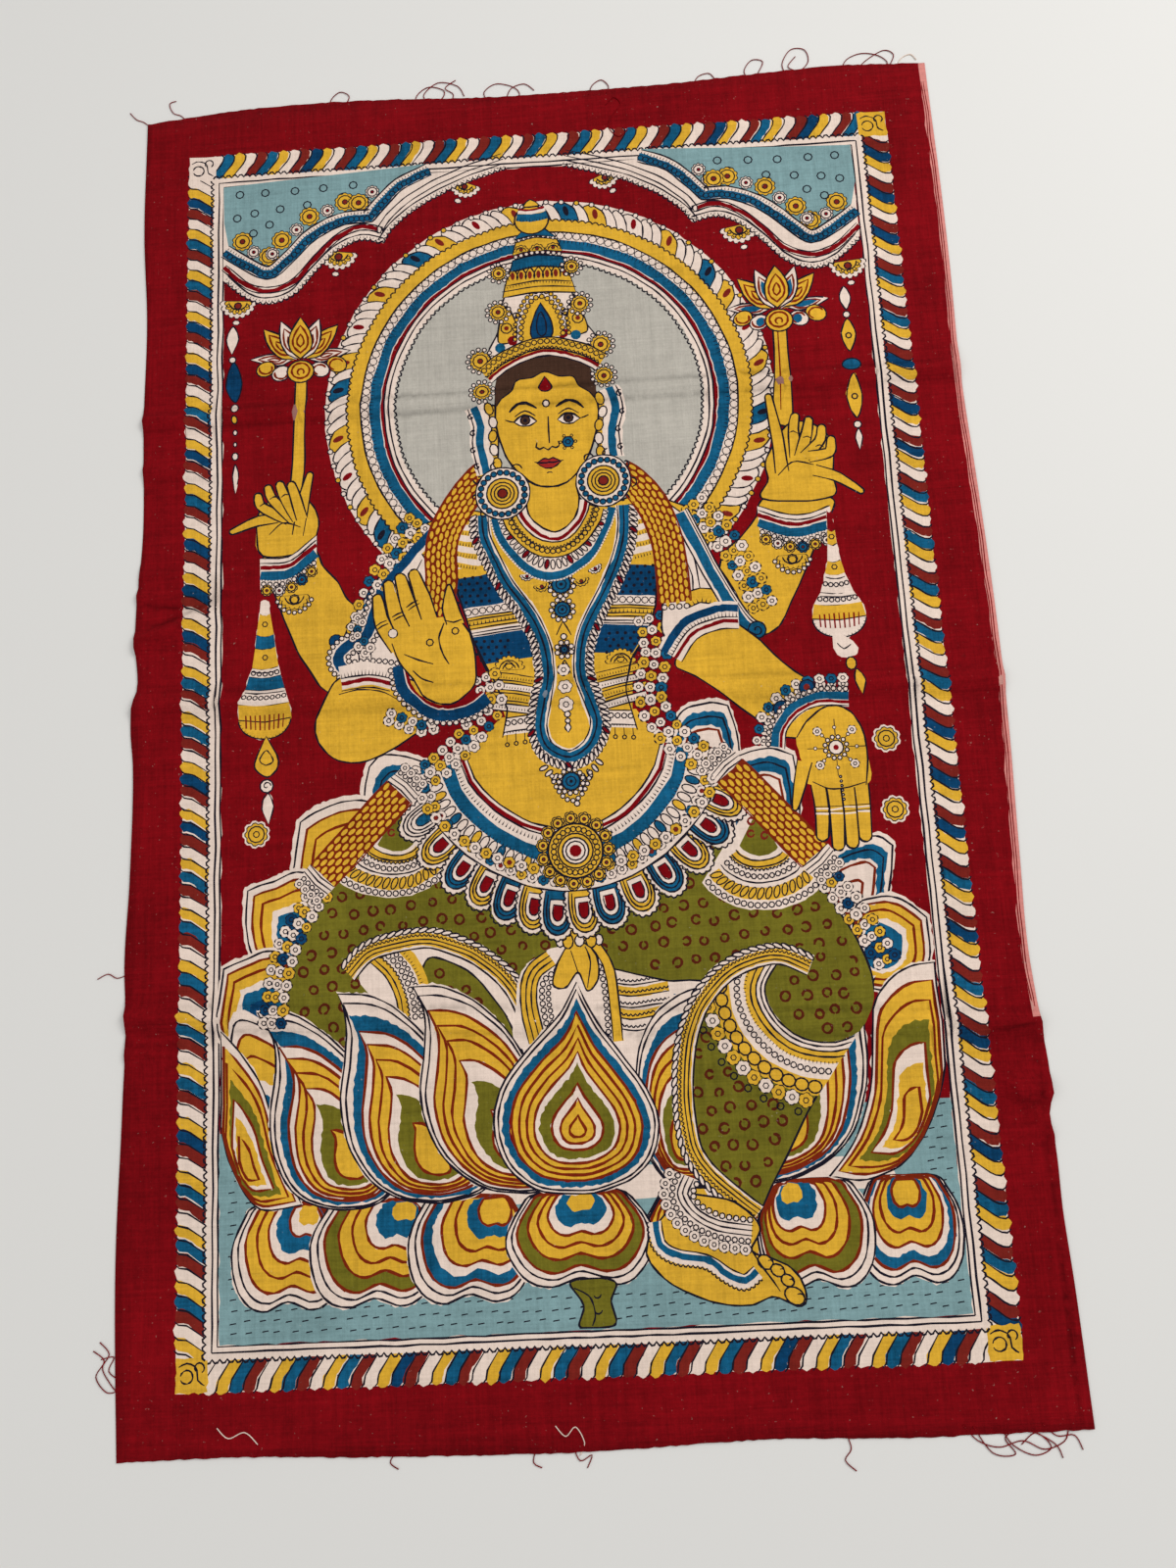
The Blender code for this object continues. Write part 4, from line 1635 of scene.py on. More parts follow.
def paint_strands():
    """Strings beside the face, and the earrings."""
    for side, path in (
        (-1, [(-50, 214), (-46, 200), (-47, 186), (-43, 164)]),
        (1, [(45, 221), (49, 206), (45, 190), (46, 170)]),
    ):
        line = smooth(path)
        wash("cream", np.vstack([beside(line, 7), beside(line, -7)[::-1]]), 0.5)
        for k, (x, y, turn) in enumerate(spaced(beside(line, -side * 9), 11)):
            spot(x, y, 5.0, "mustard" if k % 2 == 0 else "cream", 0.8, 0.7, turn)
        stripe("blue", line, -2.6, 2.6)
        pen(beside(line, side * 5), 0.8)
        for x, y, _ in spaced(beside(line, side * 5), 12):
            curl(x, y, 2.6, 60, 400)
    for x, y, side in ((-32.6, 148.5, -1), (37.4, 153, 1)):
        for k in range(5):
            a = math.radians(90 + side * (30 - k * 42))
            curl(x + 19.5 * math.cos(a), y + 19.5 * math.sin(a), 4.4, 90 * k, 90 * k + 300, 0.9)
        disc("cream", x, y, 19)
        pen(arc(x, y, 19, 0, 360), 0.85, closed=True)
        beads(arc(x, y, 15.4, 0, 360), 2.5, "blue", 4.6)
        disc("cream", x, y, 12.8)
        spot(x, y, 11.6, "mustard", 0.9)
        ring("ink", x, y, 8.2, 0.8)
        ring("ink", x, y, 5.8, 0.8)
        spot(x, y, 4.0, "brown", 0.8)


# ---------------------------------------------------------------------------------------------------
# The lotus throne
# ---------------------------------------------------------------------------------------------------

# A petal: its outline, the point its contours shrink to, and its contours from the outside in.
Petal = namedtuple("Petal", "focus outline layers")

BLUE_PETAL = (
    ("cream", 1.0), ("pen", 0.985), ("pen", 0.93), ("blue", 0.86), ("cream", 0.765), ("rust line", 0.765),
    ("mustard", 0.69), ("rust line", 0.69), ("rust line", 0.60), ("cream", 0.50), ("rust line", 0.50),
    ("olive", 0.40), ("mustard", 0.24), ("rust line", 0.24),
)
GOLD_PETAL = (
    ("cream", 1.0), ("pen", 0.985), ("pen", 0.93), ("mustard", 0.84), ("rust line", 0.84),
    ("rust line", 0.75),
    ("rust line", 0.66), ("cream", 0.54), ("rust line", 0.54), ("olive", 0.42), ("cream", 0.25),
    ("rust line", 0.25),
    ("mustard", 0.15),
)
OUTER_PETAL = (
    ("cream", 1.0), ("pen", 0.985), ("mustard", 0.88), ("rust line", 0.88), ("rust line", 0.76),
    ("olive", 0.64),
    ("cream", 0.5), ("rust line", 0.5), ("mustard", 0.38), ("rust line", 0.24),
)
HEART_PETAL = (
    ("cream", 1.0), ("pen", 0.99), ("pen", 0.94), ("blue", 0.885), ("madder", 0.80), ("mustard", 0.785),
    ("rust line", 0.785), ("rust line", 0.70), ("rust line", 0.61), ("cream", 0.52), ("rust line", 0.52),
    ("olive", 0.45), ("cream", 0.31), ("rust line", 0.31), ("mustard", 0.21), ("rust line", 0.21),
    ("rust line", 0.1),
)

UPPER_PETALS = (
    Petal((-212, -292), [
        (-228, -204), (-228, -204), (-214, -220), (-200, -244), (-190, -280), (-176, -314), (-176, -314),
        (-200, -316), (-212, -306), (-222, -286), (-228, -264), (-228, -264),
    ], OUTER_PETAL),
    Petal((-142, -294), [
        (-205, -193), (-205, -193), (-195, -210), (-193, -230), (-197, -258), (-193, -288), (-178, -310),
        (-150, -318), (-126, -314), (-118, -300), (-124, -262), (-142, -228), (-164, -206), (-184, -195),
    ], BLUE_PETAL),
    Petal((-90, -294), [
        (-153, -184), (-153, -184), (-147, -202), (-149, -226), (-152, -252), (-146, -282), (-128, -306),
        (-100, -316), (-68, -313), (-58, -300), (-68, -262), (-88, -225), (-108, -201), (-130, -187),
    ], BLUE_PETAL),
    Petal((-40, -289), [
        (-104, -182), (-104, -182), (-97, -200), (-98, -226), (-101, -250), (-95, -276), (-80, -297),
        (-55, -311), (-26, -312), (-10, -300), (-20, -262), (-38, -222), (-58, -198), (-82, -184),
    ], GOLD_PETAL),
    Petal((205, -285), [
        (228, -184), (228, -184), (212, -186), (198, -194), (188, -208), (184, -232), (180, -262),
        (168, -290),
        (150, -312), (150, -312), (176, -314), (198, -304), (213, -286), (224, -262), (228, -248),
        (228, -248),
    ], OUTER_PETAL),
    Petal((128, -290), [
        (190, -192), (190, -192), (182, -212), (181, -240), (178, -262), (168, -286), (148, -304),
        (118, -314),
        (90, -312), (84, -290), (100, -250), (130, -216), (162, -196),
    ], BLUE_PETAL),
    Petal((62, -292), [
        (92, -190), (92, -190), (66, -196), (48, -210), (38, -232), (35, -262), (40, -292), (56, -312),
        (92, -313), (112, -300), (116, -262), (106, -220),
    ], BLUE_PETAL),
)
HEART = Petal((-2, -277), [
    (2, -185), (2, -185), (13, -210), (30, -234), (44, -256), (49, -276), (42, -298), (22, -311), (-3, -315),
    (-30, -311), (-48, -295), (-55, -272), (-49, -248), (-30, -224), (-10, -205),
], HEART_PETAL)

LowerPetal = namedtuple("LowerPetal", "left right focus layers")

LOWER_GOLD = (
    ("cream", 1.0), ("pen", 0.985), ("pen", 0.91), ("mustard", 0.82), ("rust line", 0.82),
    ("rust line", 0.68),
    ("cream", 0.54), ("rust line", 0.54), ("blue", 0.44), ("cream", 0.28), ("rust line", 0.28),
    ("mustard", 0.18),
)
LOWER_OLIVE = (
    ("cream", 1.0), ("pen", 0.985), ("pen", 0.91), ("olive", 0.84), ("rust line", 0.84), ("mustard", 0.70),
    ("rust line", 0.70), ("rust line", 0.57), ("cream", 0.44), ("rust line", 0.44), ("blue", 0.34),
    ("mustard", 0.18),
)
LOWER_BLUE = (
    ("cream", 1.0), ("pen", 0.985), ("pen", 0.91), ("blue", 0.84), ("rust line", 0.84), ("cream", 0.73),
    ("mustard", 0.64), ("rust line", 0.64), ("rust line", 0.5), ("blue", 0.38), ("mustard", 0.26),
    ("rust line", 0.26),
)

LOWER_PETALS = (
    LowerPetal(-221, -150, -169, LOWER_GOLD),
    LowerPetal(-172, -92, -108, LOWER_OLIVE),
    LowerPetal(-111, -34, -50, LOWER_BLUE),
    LowerPetal(34, 122, 66, LOWER_GOLD),
    LowerPetal(164, 229, 196, LOWER_BLUE),
    LowerPetal(104, 176, 124, LOWER_OLIVE),
    LowerPetal(-50, 42, -2, LOWER_OLIVE),
)


def paint_lower_petal(petal):
    """A hanging petal: flat at its top, with two soft lobes at its foot."""
    left, right = petal.left, petal.right
    width, middle = right - left, (left + right) / 2
    top, low = -313, -376 if right - left < 85 else -369
    outline = [
        (middle + width * 0.26, top), (middle - width * 0.26, top), (left + width * 0.10, top - 9),
        (left, top - 26), (left + width * 0.03, low + 16), (left + width * 0.14, low + 4),
        (left + width * 0.30, low),
        (middle, low + 5), (right - width * 0.30, low), (right - width * 0.14, low + 4),
        (right - width * 0.03, low + 16), (right, top - 26), (right - width * 0.10, top - 9),
    ]
    nested(smooth(outline, closed=True), (petal.focus, top - 2), petal.layers)


def paint_throne():
    wash("cream", straight([(-196, -300), (186, -300), (194, -319), (-204, -319)], closed=True))
    for petal in LOWER_PETALS:
        paint_lower_petal(petal)
    for petal in UPPER_PETALS:
        nested(smooth(petal.outline, closed=True), petal.focus, petal.layers)


def paint_heart_petal():
    nested(smooth(HEART.outline, closed=True), HEART.focus, HEART.layers)


BEHIND_BLUE = (
    ("cream", 1.0), ("pen", 0.94), ("blue", 0.82), ("pen", 0.74), ("cream", 0.62), ("rust line", 0.56),
    ("cream", 0.45), ("rust line", 0.3),
)
BEHIND_GOLD = (
    ("cream", 1.0), ("pen", 0.94), ("mustard", 0.84), ("rust line", 0.84), ("rust line", 0.70),
    ("cream", 0.55),
    ("blue", 0.46), ("indigo", 0.3),
)

BEHIND_PETALS = (
    Petal(
        (-92, -85),
        [
            (-131, -95), (-135, -58), (-131, -35), (-131, -35), (-120, -27), (-95, -33), (-70, -50),
            (-80, -100),
        ],
        BEHIND_BLUE,
    ),
    Petal(
        (-135, -118),
        [
            (-182, -130), (-182, -98), (-178, -70), (-178, -70), (-164, -62), (-133, -57), (-105, -80),
            (-120, -140),
        ],
        BEHIND_GOLD,
    ),
    Petal(
        (-172, -152),
        [
            (-203, -166), (-214, -140), (-213, -114), (-213, -114), (-198, -109), (-172, -104),
            (-140, -130), (-155, -180),
        ],
        BEHIND_GOLD,
    ),
    Petal(
        (-200, -200),
        [
            (-228, -214), (-228, -164), (-228, -164), (-213, -158), (-192, -154), (-170, -176),
            (-175, -216),
        ],
        BEHIND_GOLD,
    ),
    Petal(
        (-190, -290),
        [
            (-222, -200), (-206, -196), (-184, -216), (-168, -280), (-170, -312), (-204, -312),
            (-222, -260),
        ],
        BEHIND_GOLD,
    ),
    Petal(
        (70, -262),
        [(22, -176), (60, -182), (100, -186), (118, -220), (104, -290), (52, -300), (26, -230)],
        BEHIND_BLUE,
    ),
    Petal(
        (92, -52),
        [(76, -16), (97, -6), (112, -9), (112, -9), (117, -34), (115, -62), (96, -84), (70, -60)],
        BEHIND_BLUE,
    ),
    Petal(
        (126, -86),
        [
            (108, -48), (135, -39), (152, -45), (152, -45), (154, -72), (148, -100), (120, -112),
            (104, -80),
        ],
        BEHIND_BLUE,
    ),
    Petal(
        (178, -144),
        [
            (168, -112), (198, -101), (211, -108), (211, -108), (206, -136), (196, -160), (170, -170),
            (155, -140),
        ],
        BEHIND_BLUE,
    ),
    Petal(
        (192, -176),
        [
            (180, -150), (195, -141), (210, -142), (228, -156), (228, -156), (226, -186), (205, -202),
            (180, -195),
        ],
        BEHIND_GOLD,
    ),
)


def paint_petals_behind():
    for petal in BEHIND_PETALS:
        nested(smooth(petal.outline, closed=True), petal.focus, petal.layers)


# ---------------------------------------------------------------------------------------------------
# The garment and the legs
# ---------------------------------------------------------------------------------------------------

THIGH_LEFT = [
    (4, -172), (-4, -158), (-19, -142), (-51, -122), (-70, -106), (-91, -98), (-115, -104), (-149, -108),
    (-166, -130), (-179, -155), (-186, -190), (-184, -225), (-150, -245), (-80, -245), (-30, -230),
    (-26, -190),
]
THIGH_RIGHT = [
    (2, -172), (8, -158), (24, -140), (52, -120), (78, -102), (107, -100), (131, -114), (157, -128),
    (171, -150),
    (184, -176), (188, -200), (180, -219), (163, -230), (139, -228), (112, -200), (85, -190), (59, -188),
    (30, -180),
]
CALF_RIGHT = [
    (132, -182), (107, -181), (85, -192), (72, -213), (65, -240), (63, -276), (69, -299), (85, -316),
    (107, -331),
    (107, -331), (114, -318), (143, -270), (168, -232), (150, -229), (124, -213),
]
LACE_RIGHT = [
    (150, -184), (131, -176), (107, -180), (87, -194), (74, -214), (67, -240), (66, -276), (71, -297),
    (86, -315), (106, -331),
]
LACE_LEFT = [(-145, -173), (-131, -160), (-104, -154), (-83, -156), (-59, -168), (-40, -186), (-28, -212)]
KNEE_CUFF = [(131, -180), (121, -195), (125, -212), (139, -226), (160, -231), (178, -226)]
KNEE_CUFF_LEFT = [(-132, -168), (-122, -178), (-116, -192), (-114, -206)]


def holds(outline, x, y):
    """Whether a closed outline holds the point (x, y)."""
    x0, y0 = outline[:, 0], outline[:, 1]
    x1, y1 = np.roll(x0, -1), np.roll(y0, -1)
    crosses = (y0 > y) != (y1 > y)
    at = x0 + (y - y0) / np.where(y1 == y0, 1, y1 - y0) * (x1 - x0)
    return bool(np.sum(crosses & (at > x)) % 2)


def paint_rings(outline, pitch=13.0, avoid=()):
    """Brown-red rings in staggered rows over a garment."""
    low, high = outline.min(0), outline.max(0)
    for row, y in enumerate(np.arange(low[1] + 5, high[1], pitch * 0.9)):
        for x in np.arange(low[0] + (row % 2) * pitch / 2, high[0], pitch):
            px, py = x + rng.uniform(-1.4, 1.4), y + rng.uniform(-1.4, 1.4) + 0.06 * (x - low[0])
            if all(holds(outline, px + dx, py + dy) for dx, dy in ((5, 0), (-5, 0), (0, 5), (0, -5))):
                if not any(holds(area, px, py) for area in avoid):
                    start = rng.uniform(0, 360)
                    pen(
                        arc(px, py, rng.uniform(2.4, 3.1), start, start + rng.uniform(300, 370)),
                        1.35,
                        "umber",
                    )


def paint_lace(path, side):
    """A border of mustard and cream with a twisted edge."""
    path = smooth(path)
    wash("cream", np.vstack([beside(path, side * 7.5), beside(path, -side * 5.5)[::-1]]), 0.3)
    wash("mustard", np.vstack([beside(path, side * 4), beside(path, -side * 4)[::-1]]), 0.25)
    for x, y, turn in spaced(beside(path, side * 6), 5.2):
        spot(x, y, 4.0, "cream", 0.8, 0.5, turn + side * 22)
    scallops(beside(path, side * 3.2), 2.8, -side * 1.2, 0.7)
    pen(path, 0.75)
    pen(beside(path, -side * 2.6), 0.75)
    pen(beside(path, -side * 5.6), 0.85)


def paint_garment():
    left = smooth(THIGH_LEFT, closed=True)
    outlined("olive", left)
    under = smooth(
        [
            (-138, -174), (-104, -158), (-83, -160), (-60, -172), (-42, -190), (-30, -215), (-36, -245),
            (-110, -245), (-118, -205),
        ],
        True,
    )
    paint_rings(left, avoid=[under])
    wash("cream", under)
    inner = smooth(
        [
            (-92, -166), (-68, -175), (-51, -194), (-40, -214), (-34, -240), (-60, -245), (-90, -215),
            (-98, -185),
        ],
        True,
    )
    outlined("olive", inner)
    paint_rings(inner, 12)
    cuff = smooth(KNEE_CUFF_LEFT)
    stripe("mustard", cuff, 2, 9)
    pen(beside(cuff, 2), 0.8)
    pen(beside(cuff, 5), 0.8)
    scallops(beside(cuff, 8), 3, 1.3)
    beads(beside(cuff, 12.5), 2.2)
    beads(beside(cuff, 16.5), 2.0)
    stripe("mustard", cuff, 19, 25)
    comb(beside(cuff, 20), 2.4, 2.4)
    paint_lace(LACE_LEFT, 1)


def paint_right_leg():
    right, calf = smooth(THIGH_RIGHT, closed=True), smooth(CALF_RIGHT, closed=True)
    outlined("olive", right)
    cuff = smooth(KNEE_CUFF)
    band = np.vstack([beside(cuff, -44), beside(cuff, 2)[::-1]])
    paint_rings(right, avoid=[calf])
    outlined("olive", calf)
    paint_rings(calf, 12.5, avoid=[band])
    knee = smooth(
        [
            (131, -180), (121, -195), (125, -212), (139, -226), (160, -231), (180, -222), (188, -200),
            (175, -180), (150, -170),
        ],
        True,
    )
    wash("olive", knee)
    paint_rings(knee, 12.5)
    calf_wide = smooth(
        [
            (140, -180), (107, -183), (88, -193), (77, -214), (72, -240), (70, -300), (104, -326),
            (114, -318), (150, -262), (176, -226), (170, -215), (130, -190),
        ],
        True,
    )

    def cut(distance):
        """The cuff at a distance from the knee, stopped at the leg's front and back edges."""
        line = beside(cuff, -distance)
        return np.array([p for p in line if holds(calf_wide, *p)])

    for start, end, dye in ((0, 6, "cream"), (6, 13, "mustard"), (13, 23, "cream"), (23, 33, "mustard")):
        near, far = cut(start), cut(end)
        if len(near) > 3 and len(far) > 3:
            wash(dye, np.vstack([near, far[::-1]]), 0.2)
    for distance in (0.5, 3, 6, 9.5):
        pen(cut(distance), 0.85)
    comb(cut(12.2), -2.2, 2.4)
    beads(cut(18), 2.3)
    for x, y, turn in spaced(cut(28), 8.6):
        spot(x, y, 4.9, "mustard", 0.85, 0.9, turn)
    for k, (x, y, _) in enumerate(spaced(cut(37), 8.6)):
        blossom(x, y, 5.2, "cream" if k % 2 else "mustard")
    for x, y, _ in spaced(cut(44.5), 11):
        ring("ink", x, y, 2.2, 0.8)
    paint_lace(LACE_RIGHT, -1)


PLEATS = [
    (-33, -178), (-22, -168), (-6, -163), (24, -168), (62, -176), (52, -242), (28, -240), (-34, -226),
    (-38, -204),
]


def paint_waist_pleats():
    """The waist cloth's pleats behind the petals."""
    wash("cream", smooth(PLEATS, closed=True))
    fan = smooth([(-13, -171), (-25, -180), (-28, -196), (-24, -222)])
    stripe("mustard", fan, -6.5, 4)
    for across in (-6.5, -3, 0.5, 4):
        pen(beside(fan, across), 0.8)
    beads(beside(fan, 7.4), 2.2)
    beads(beside(fan, 11.5)[:-4], 1.9)
    for low, dye in ((-184, "cream"), (-191, "mustard"), (-198, "cream"), (-205, "mustard"), (-212, "cream")):
        row = smooth([(24, low), (38, low - 2.5), (60, low)])
        stripe(dye, row, -3.2, 2.4)
        scallops(row[::-1], 2.8, 1.2, 0.8)
        pen(beside(row, -3.2), 0.8)


def paint_waist_fold():
    """The waist cloth's end: a knot with a hanging fold and a beaded edge."""
    edge = smooth([(12, -163), (20, -176), (23, -194), (24, -224)])
    stripe("cream", edge, -6, 0)
    stripe("mustard", edge, -1, 5)
    pen(beside(edge, 5), 0.85)
    pen(beside(edge, -1), 0.75)
    beads(beside(edge, -3.4), 2.1)
    fold = [
        (-2, -162), (8, -162), (15, -170), (16, -184), (9, -192), (3, -180), (-5, -189), (-13, -187),
        (-10, -174),
    ]
    outlined("mustard", smooth(fold, closed=True))
    pen(smooth([(8, -164), (11, -174), (9, -190)]), 0.8)
    pen(smooth([(-1, -166), (1, -173), (3, -180)]), 0.8)
    disc("mustard", 4, -156, 7)
    for side in (-1, 1):
        spot(5 + side * 12.5, -160, 3.2, "cream", 0.8, 1.3)
        spot(5 + side * 7.5, -160, 4.0, "mustard", 0.8, 1.35)
    spot(5, -160, 3.6, "cream", 0.8, 1.2)


# ---------------------------------------------------------------------------------------------------
# The belt, the festoon of loops, the hip swags and the lower garlands
# ---------------------------------------------------------------------------------------------------

FESTOON = (
    (-94, -76, "cream", "blue"), (-83, -94, "mustard", "madder"), (-69, -110, "blue", "madder"),
    (-54, -121, "mustard", "madder"), (-39, -131, "blue", "madder"), (-23, -137, "mustard", "madder"),
    (-8, -142, "blue", "madder"), (9, -141, "mustard", "madder"), (26, -137, "blue", "madder"),
    (45, -130, "mustard", "madder"), (63, -119, "blue", "madder"), (80, -106, "mustard", "madder"),
    (93, -91, "blue", "madder"), (102, -75, "mustard", "madder"),
)


TONGUE = [(-15, -8.5), (-4, -9.5), (6, -8.5), (12, -5), (14, 0), (12, 5), (6, 8.5), (-4, 9.5), (-15, 8.5)]


def paint_tongue(x, y, dye, heart):
    """A rounded tongue of the festoon, pointing away from the belt, in contours round its heart."""
    turn = math.degrees(math.atan2(y + 15, x - 3))

    def contour(size):
        return smooth(placed(TONGUE, x, y, turn, size))

    wash("cream", contour(1.22), 0.3)
    scallops(contour(1.18)[::-1], 4.2, 1.6, 0.9)
    outlined(dye, contour(1.0), 0.9)
    pen(contour(0.8), 0.8)
    outlined("cream", contour(0.6), 0.8)
    outlined(heart, contour(0.36), 0.7)


def paint_hip(left, low, right, patch):
    """Swags over a hip: beads, gold pleats, beads and a gold arc round a patch of olive cloth."""
    left, low, right = (np.array(p, float) for p in (left, low, right))
    patch = np.array(patch, float)

    def line(share):
        return swag(*(patch + (p - patch) * share for p in (left, low, right)), 0.45)

    wash("cream", np.vstack([line(1.04), [patch + (0, 22)]]), 0.3)
    beads(line(0.98), 2.3)
    stripe("mustard", line(0.83), -4.4, 3.6)
    for x, y, turn in spaced(line(0.83), 5.4):
        spot(x, y, 4.6, "mustard", 0.75, 0.5, turn + 66)
    pen(line(0.70), 0.8)
    beads(line(0.62), 2.1)
    comb(line(0.55), 2.4, 2.4)
    stripe("mustard", line(0.46), -3, 2.6)
    pen(line(0.50), 0.8)
    pen(line(0.42), 0.8)
    scallops(line(0.55), 2.8, 1.2)
    olive = np.vstack([line(0.35), [patch + (0, 12)]])
    wash("olive", olive, 0.3)
    for dx, dy in ((-5, -3), (4, -5), (6, 3), (-4, 5)):
        pen(arc(patch[0] + dx, patch[1] + dy, 2.2, 20, 350), 1.1, "brown")


def paint_hips():
    paint_hip((-152, -108), (-113, -124), (-82, -112), (-110, -80))
    paint_hip((88, -126), (124, -145), (160, -132), (124, -94))


def paint_skirt():
    base = swag((-112, -58), (3, -149), (116, -56), 0.55)
    wash("cream", np.vstack([base, [(70, -30), (-70, -30)]]), 0.3)
    for x, y, dye, heart in FESTOON:
        paint_tongue(x, y, dye, heart)
    edge = swag((-96, -54), (3, -128), (102, -54), 0.55)
    wash("cream", np.vstack([edge, [(60, -25), (-60, -25)]]), 0.3)
    pen(edge, 0.85)
    inside = swag((-88, -46), (3, -113), (89, -45), 0.58)
    petals(inside, 11, 6.2, ("cream", "cream", "mustard", "cream", "cream", "blue"), 0.75)
    for low, radius, dyes in (
        (-122, 4.0, ("cream", "cream", "mustard", "cream", "blue")),
        (-115, 4.4, ("mustard", "cream", "mustard", "cream")),
    ):
        line = swag((-92 - (low + 122), -50), (3, low), (96 + (low + 122), -50), 0.55)
        for k, (x, y, _) in enumerate(spaced(line, radius * 1.85)):
            blossom(x, y, radius, dyes[k % len(dyes)])
            if k % 7 == 3:
                disc("brown", x, y, 1.6)
    belt = swag((-77, -40), (3, -104), (79, -38), 0.6)
    wash("cream", np.vstack([beside(belt, -2), [(60, -20), (-60, -20)]]), 0.3)
    stripe("blue", belt, -5.4, 3.4)
    comb(beside(belt, -5.4), 2.2, 2.6, 0.9)
    inner = swag((-70, -37), (4, -94), (72, -35), 0.6)
    comb(beside(inner, -3.6), 3.4, 2.7, 1.0)
    pen(beside(inner, 1.5), 0.9)
    stripe("madder", beside(inner, 3.4), -1.2, 1.2)
    belly = swag((-64, -35), (4, -87), (65, -33), 0.6)
    wash("mustard", np.vstack([belly, [(50, -10), (-40, -10)]]), 0.2)
    pen(belly, 0.9)


def paint_belt_medallion():
    for turn in range(0, 360, 24):
        a = math.radians(turn)
        rosette(5.4 + 21.5 * math.cos(a), -102 + 21.5 * math.sin(a), 5.0, "mustard", "brown", 7)
    spot(5.4, -102, 18.5, "mustard", 1.0)
    beads(arc(5.4, -102, 14.2, 0, 360), 2.3, "mustard", 3.6)
    ring("ink", 5.4, -102, 11.4, 0.85)
    spot(5.4, -102, 9.2, "cream", 0.9)
    ring("ink", 5.4, -102, 6.3, 0.8)
    disc("madder", 5.4, -102, 4)


def paint_garland_end(x, y, turn):
    """The bound end of a garland: bands of cream with lines, beads and a frill. turn is its way out."""
    for reach, half in ((0, 11), (3, 11), (6, 11)):
        line = placed([(reach, -half), (reach + 1.2, 0), (reach, half)], x, y, turn)
        if reach == 0:
            block = placed([(0, -11.5), (0, 11.5), (15, 10), (15, -10)], x, y, turn)
            wash("cream", straight(block, True), 0.3)
        pen(line, 0.85)
    beads(placed([(9.5, -10), (10, 0), (9.5, 10)], x, y, turn), 2.0)
    for k in range(4):
        px, py = placed([(14, -8 + k * 5.4)], x, y, turn)[0]
        blossom(px, py, 3.6)


def paint_lower_garlands():
    for start, end in (((-109, -56), (-161, -109)), ((109, -55), (159, -114))):
        path = straight([start, end], step=4)
        scales(path, 22, 6, 6.6)
        pen(beside(path, 11.3), 0.9, "rust")
        pen(beside(path, -11.3), 0.9, "rust")
        turn = math.degrees(math.atan2(end[1] - start[1], end[0] - start[0]))
        paint_garland_end(*end, turn)
        paint_garland_end(*start, turn + 180)


def paint_side_clusters():
    knee_left = smooth([(-160, -116), (-174, -134), (-186, -158), (-192, -182), (-194, -206)])
    cluster(knee_left, 4.2, 3, 17, ("cream", "mustard", "cream", "mustard", "cream", "indigo", "cream"))
    knee_right = smooth([(166, -128), (178, -146), (190, -166), (200, -186)])
    cluster(knee_right, 4.2, 3, 18, ("cream", "cream", "mustard", "indigo", "cream", "mustard", "cream"))
    sash_left = smooth([(-50, 22), (-46, 0), (-62, -22), (-84, -42), (-106, -54)])
    cluster(sash_left, 4.3, 3, 20, ("cream", "mustard", "cream", "mustard", "cream", "blue", "cream"))
    sash_right = smooth([(62, 56), (66, 30), (60, 0), (70, -26), (92, -46), (112, -60)])
    cluster(sash_right, 4.3, 3, 22, ("cream", "mustard", "cream", "blue", "mustard", "cream"))


# ---------------------------------------------------------------------------------------------------
# The foot, the turtle in the water, and the ornaments that hang in the picture
# ---------------------------------------------------------------------------------------------------

FOOT = [
    (46, -332), (39, -341), (37, -354), (50, -369), (76, -381), (97, -383), (112, -379), (126, -385),
    (131, -381),
    (129, -370), (122, -362), (112, -357), (100, -352), (106, -338), (92, -324), (66, -318), (54, -324),
]
SOLE_BAND = [(43, -333), (45, -346), (56, -353), (74, -357), (85, -365), (95, -369), (103, -364)]
ANKLET = [(62, -306), (57, -318), (64, -331), (80, -340), (101, -344)]


def paint_foot():
    outlined("mustard", smooth(FOOT, closed=True))
    band = smooth(SOLE_BAND)
    stripe("cream", band, -4.8, 3.2)
    scallops(beside(band, -4.6), 3, -1.3)
    stripe("blue", band, -2, 1.8)
    pen(beside(band, 3.4), 0.75)
    for x, y, radius, flat in (
        (108, -359, 5.6, 0.8), (115, -364, 5.0, 0.8), (120.5, -370, 4.8, 0.8), (124, -379, 7.0, 0.75)
    ):
        spot(x, y, radius, "mustard", 0.85, flat, -35)
        pen(arc(x + radius * 0.45, y - radius * 0.2, radius * 0.4, -60, 120), 0.7)
    pen(smooth([(100, -352), (106, -362), (112, -370), (116, -376)]), 0.8)
    anklet = smooth(ANKLET)
    wash("cream", np.vstack([beside(anklet, 9), beside(anklet, -9)[::-1]]))
    for depth in (6.5, 3.5, 0.5):
        pen(beside(anklet, depth), 0.8)
    beads(beside(anklet, -3), 2.1)
    for x, y, _ in spaced(beside(anklet, -8), 6.5):
        blossom(x, y, 3.9)
    beads(beside(anklet, 9.5), 2.2)


def paint_turtle():
    body = [(-11, -366), (4, -364), (17, -367), (13, -378), (15, -391), (0, -392), (-7, -391), (-4, -379)]
    outlined("olive", smooth(body, closed=True))
    pen(smooth([(-9, -369), (0, -374), (3, -384), (1, -391)]), 0.8)
    for x, y in ((5, -373), (5, -382)):
        pen(arc(x, y, 2.4, 200, 350), 0.8)


# A tier of a tassel: its height, its half widths at the bottom and the top, and its dye.
Tier = namedtuple("Tier", "height half_low half_high dye")

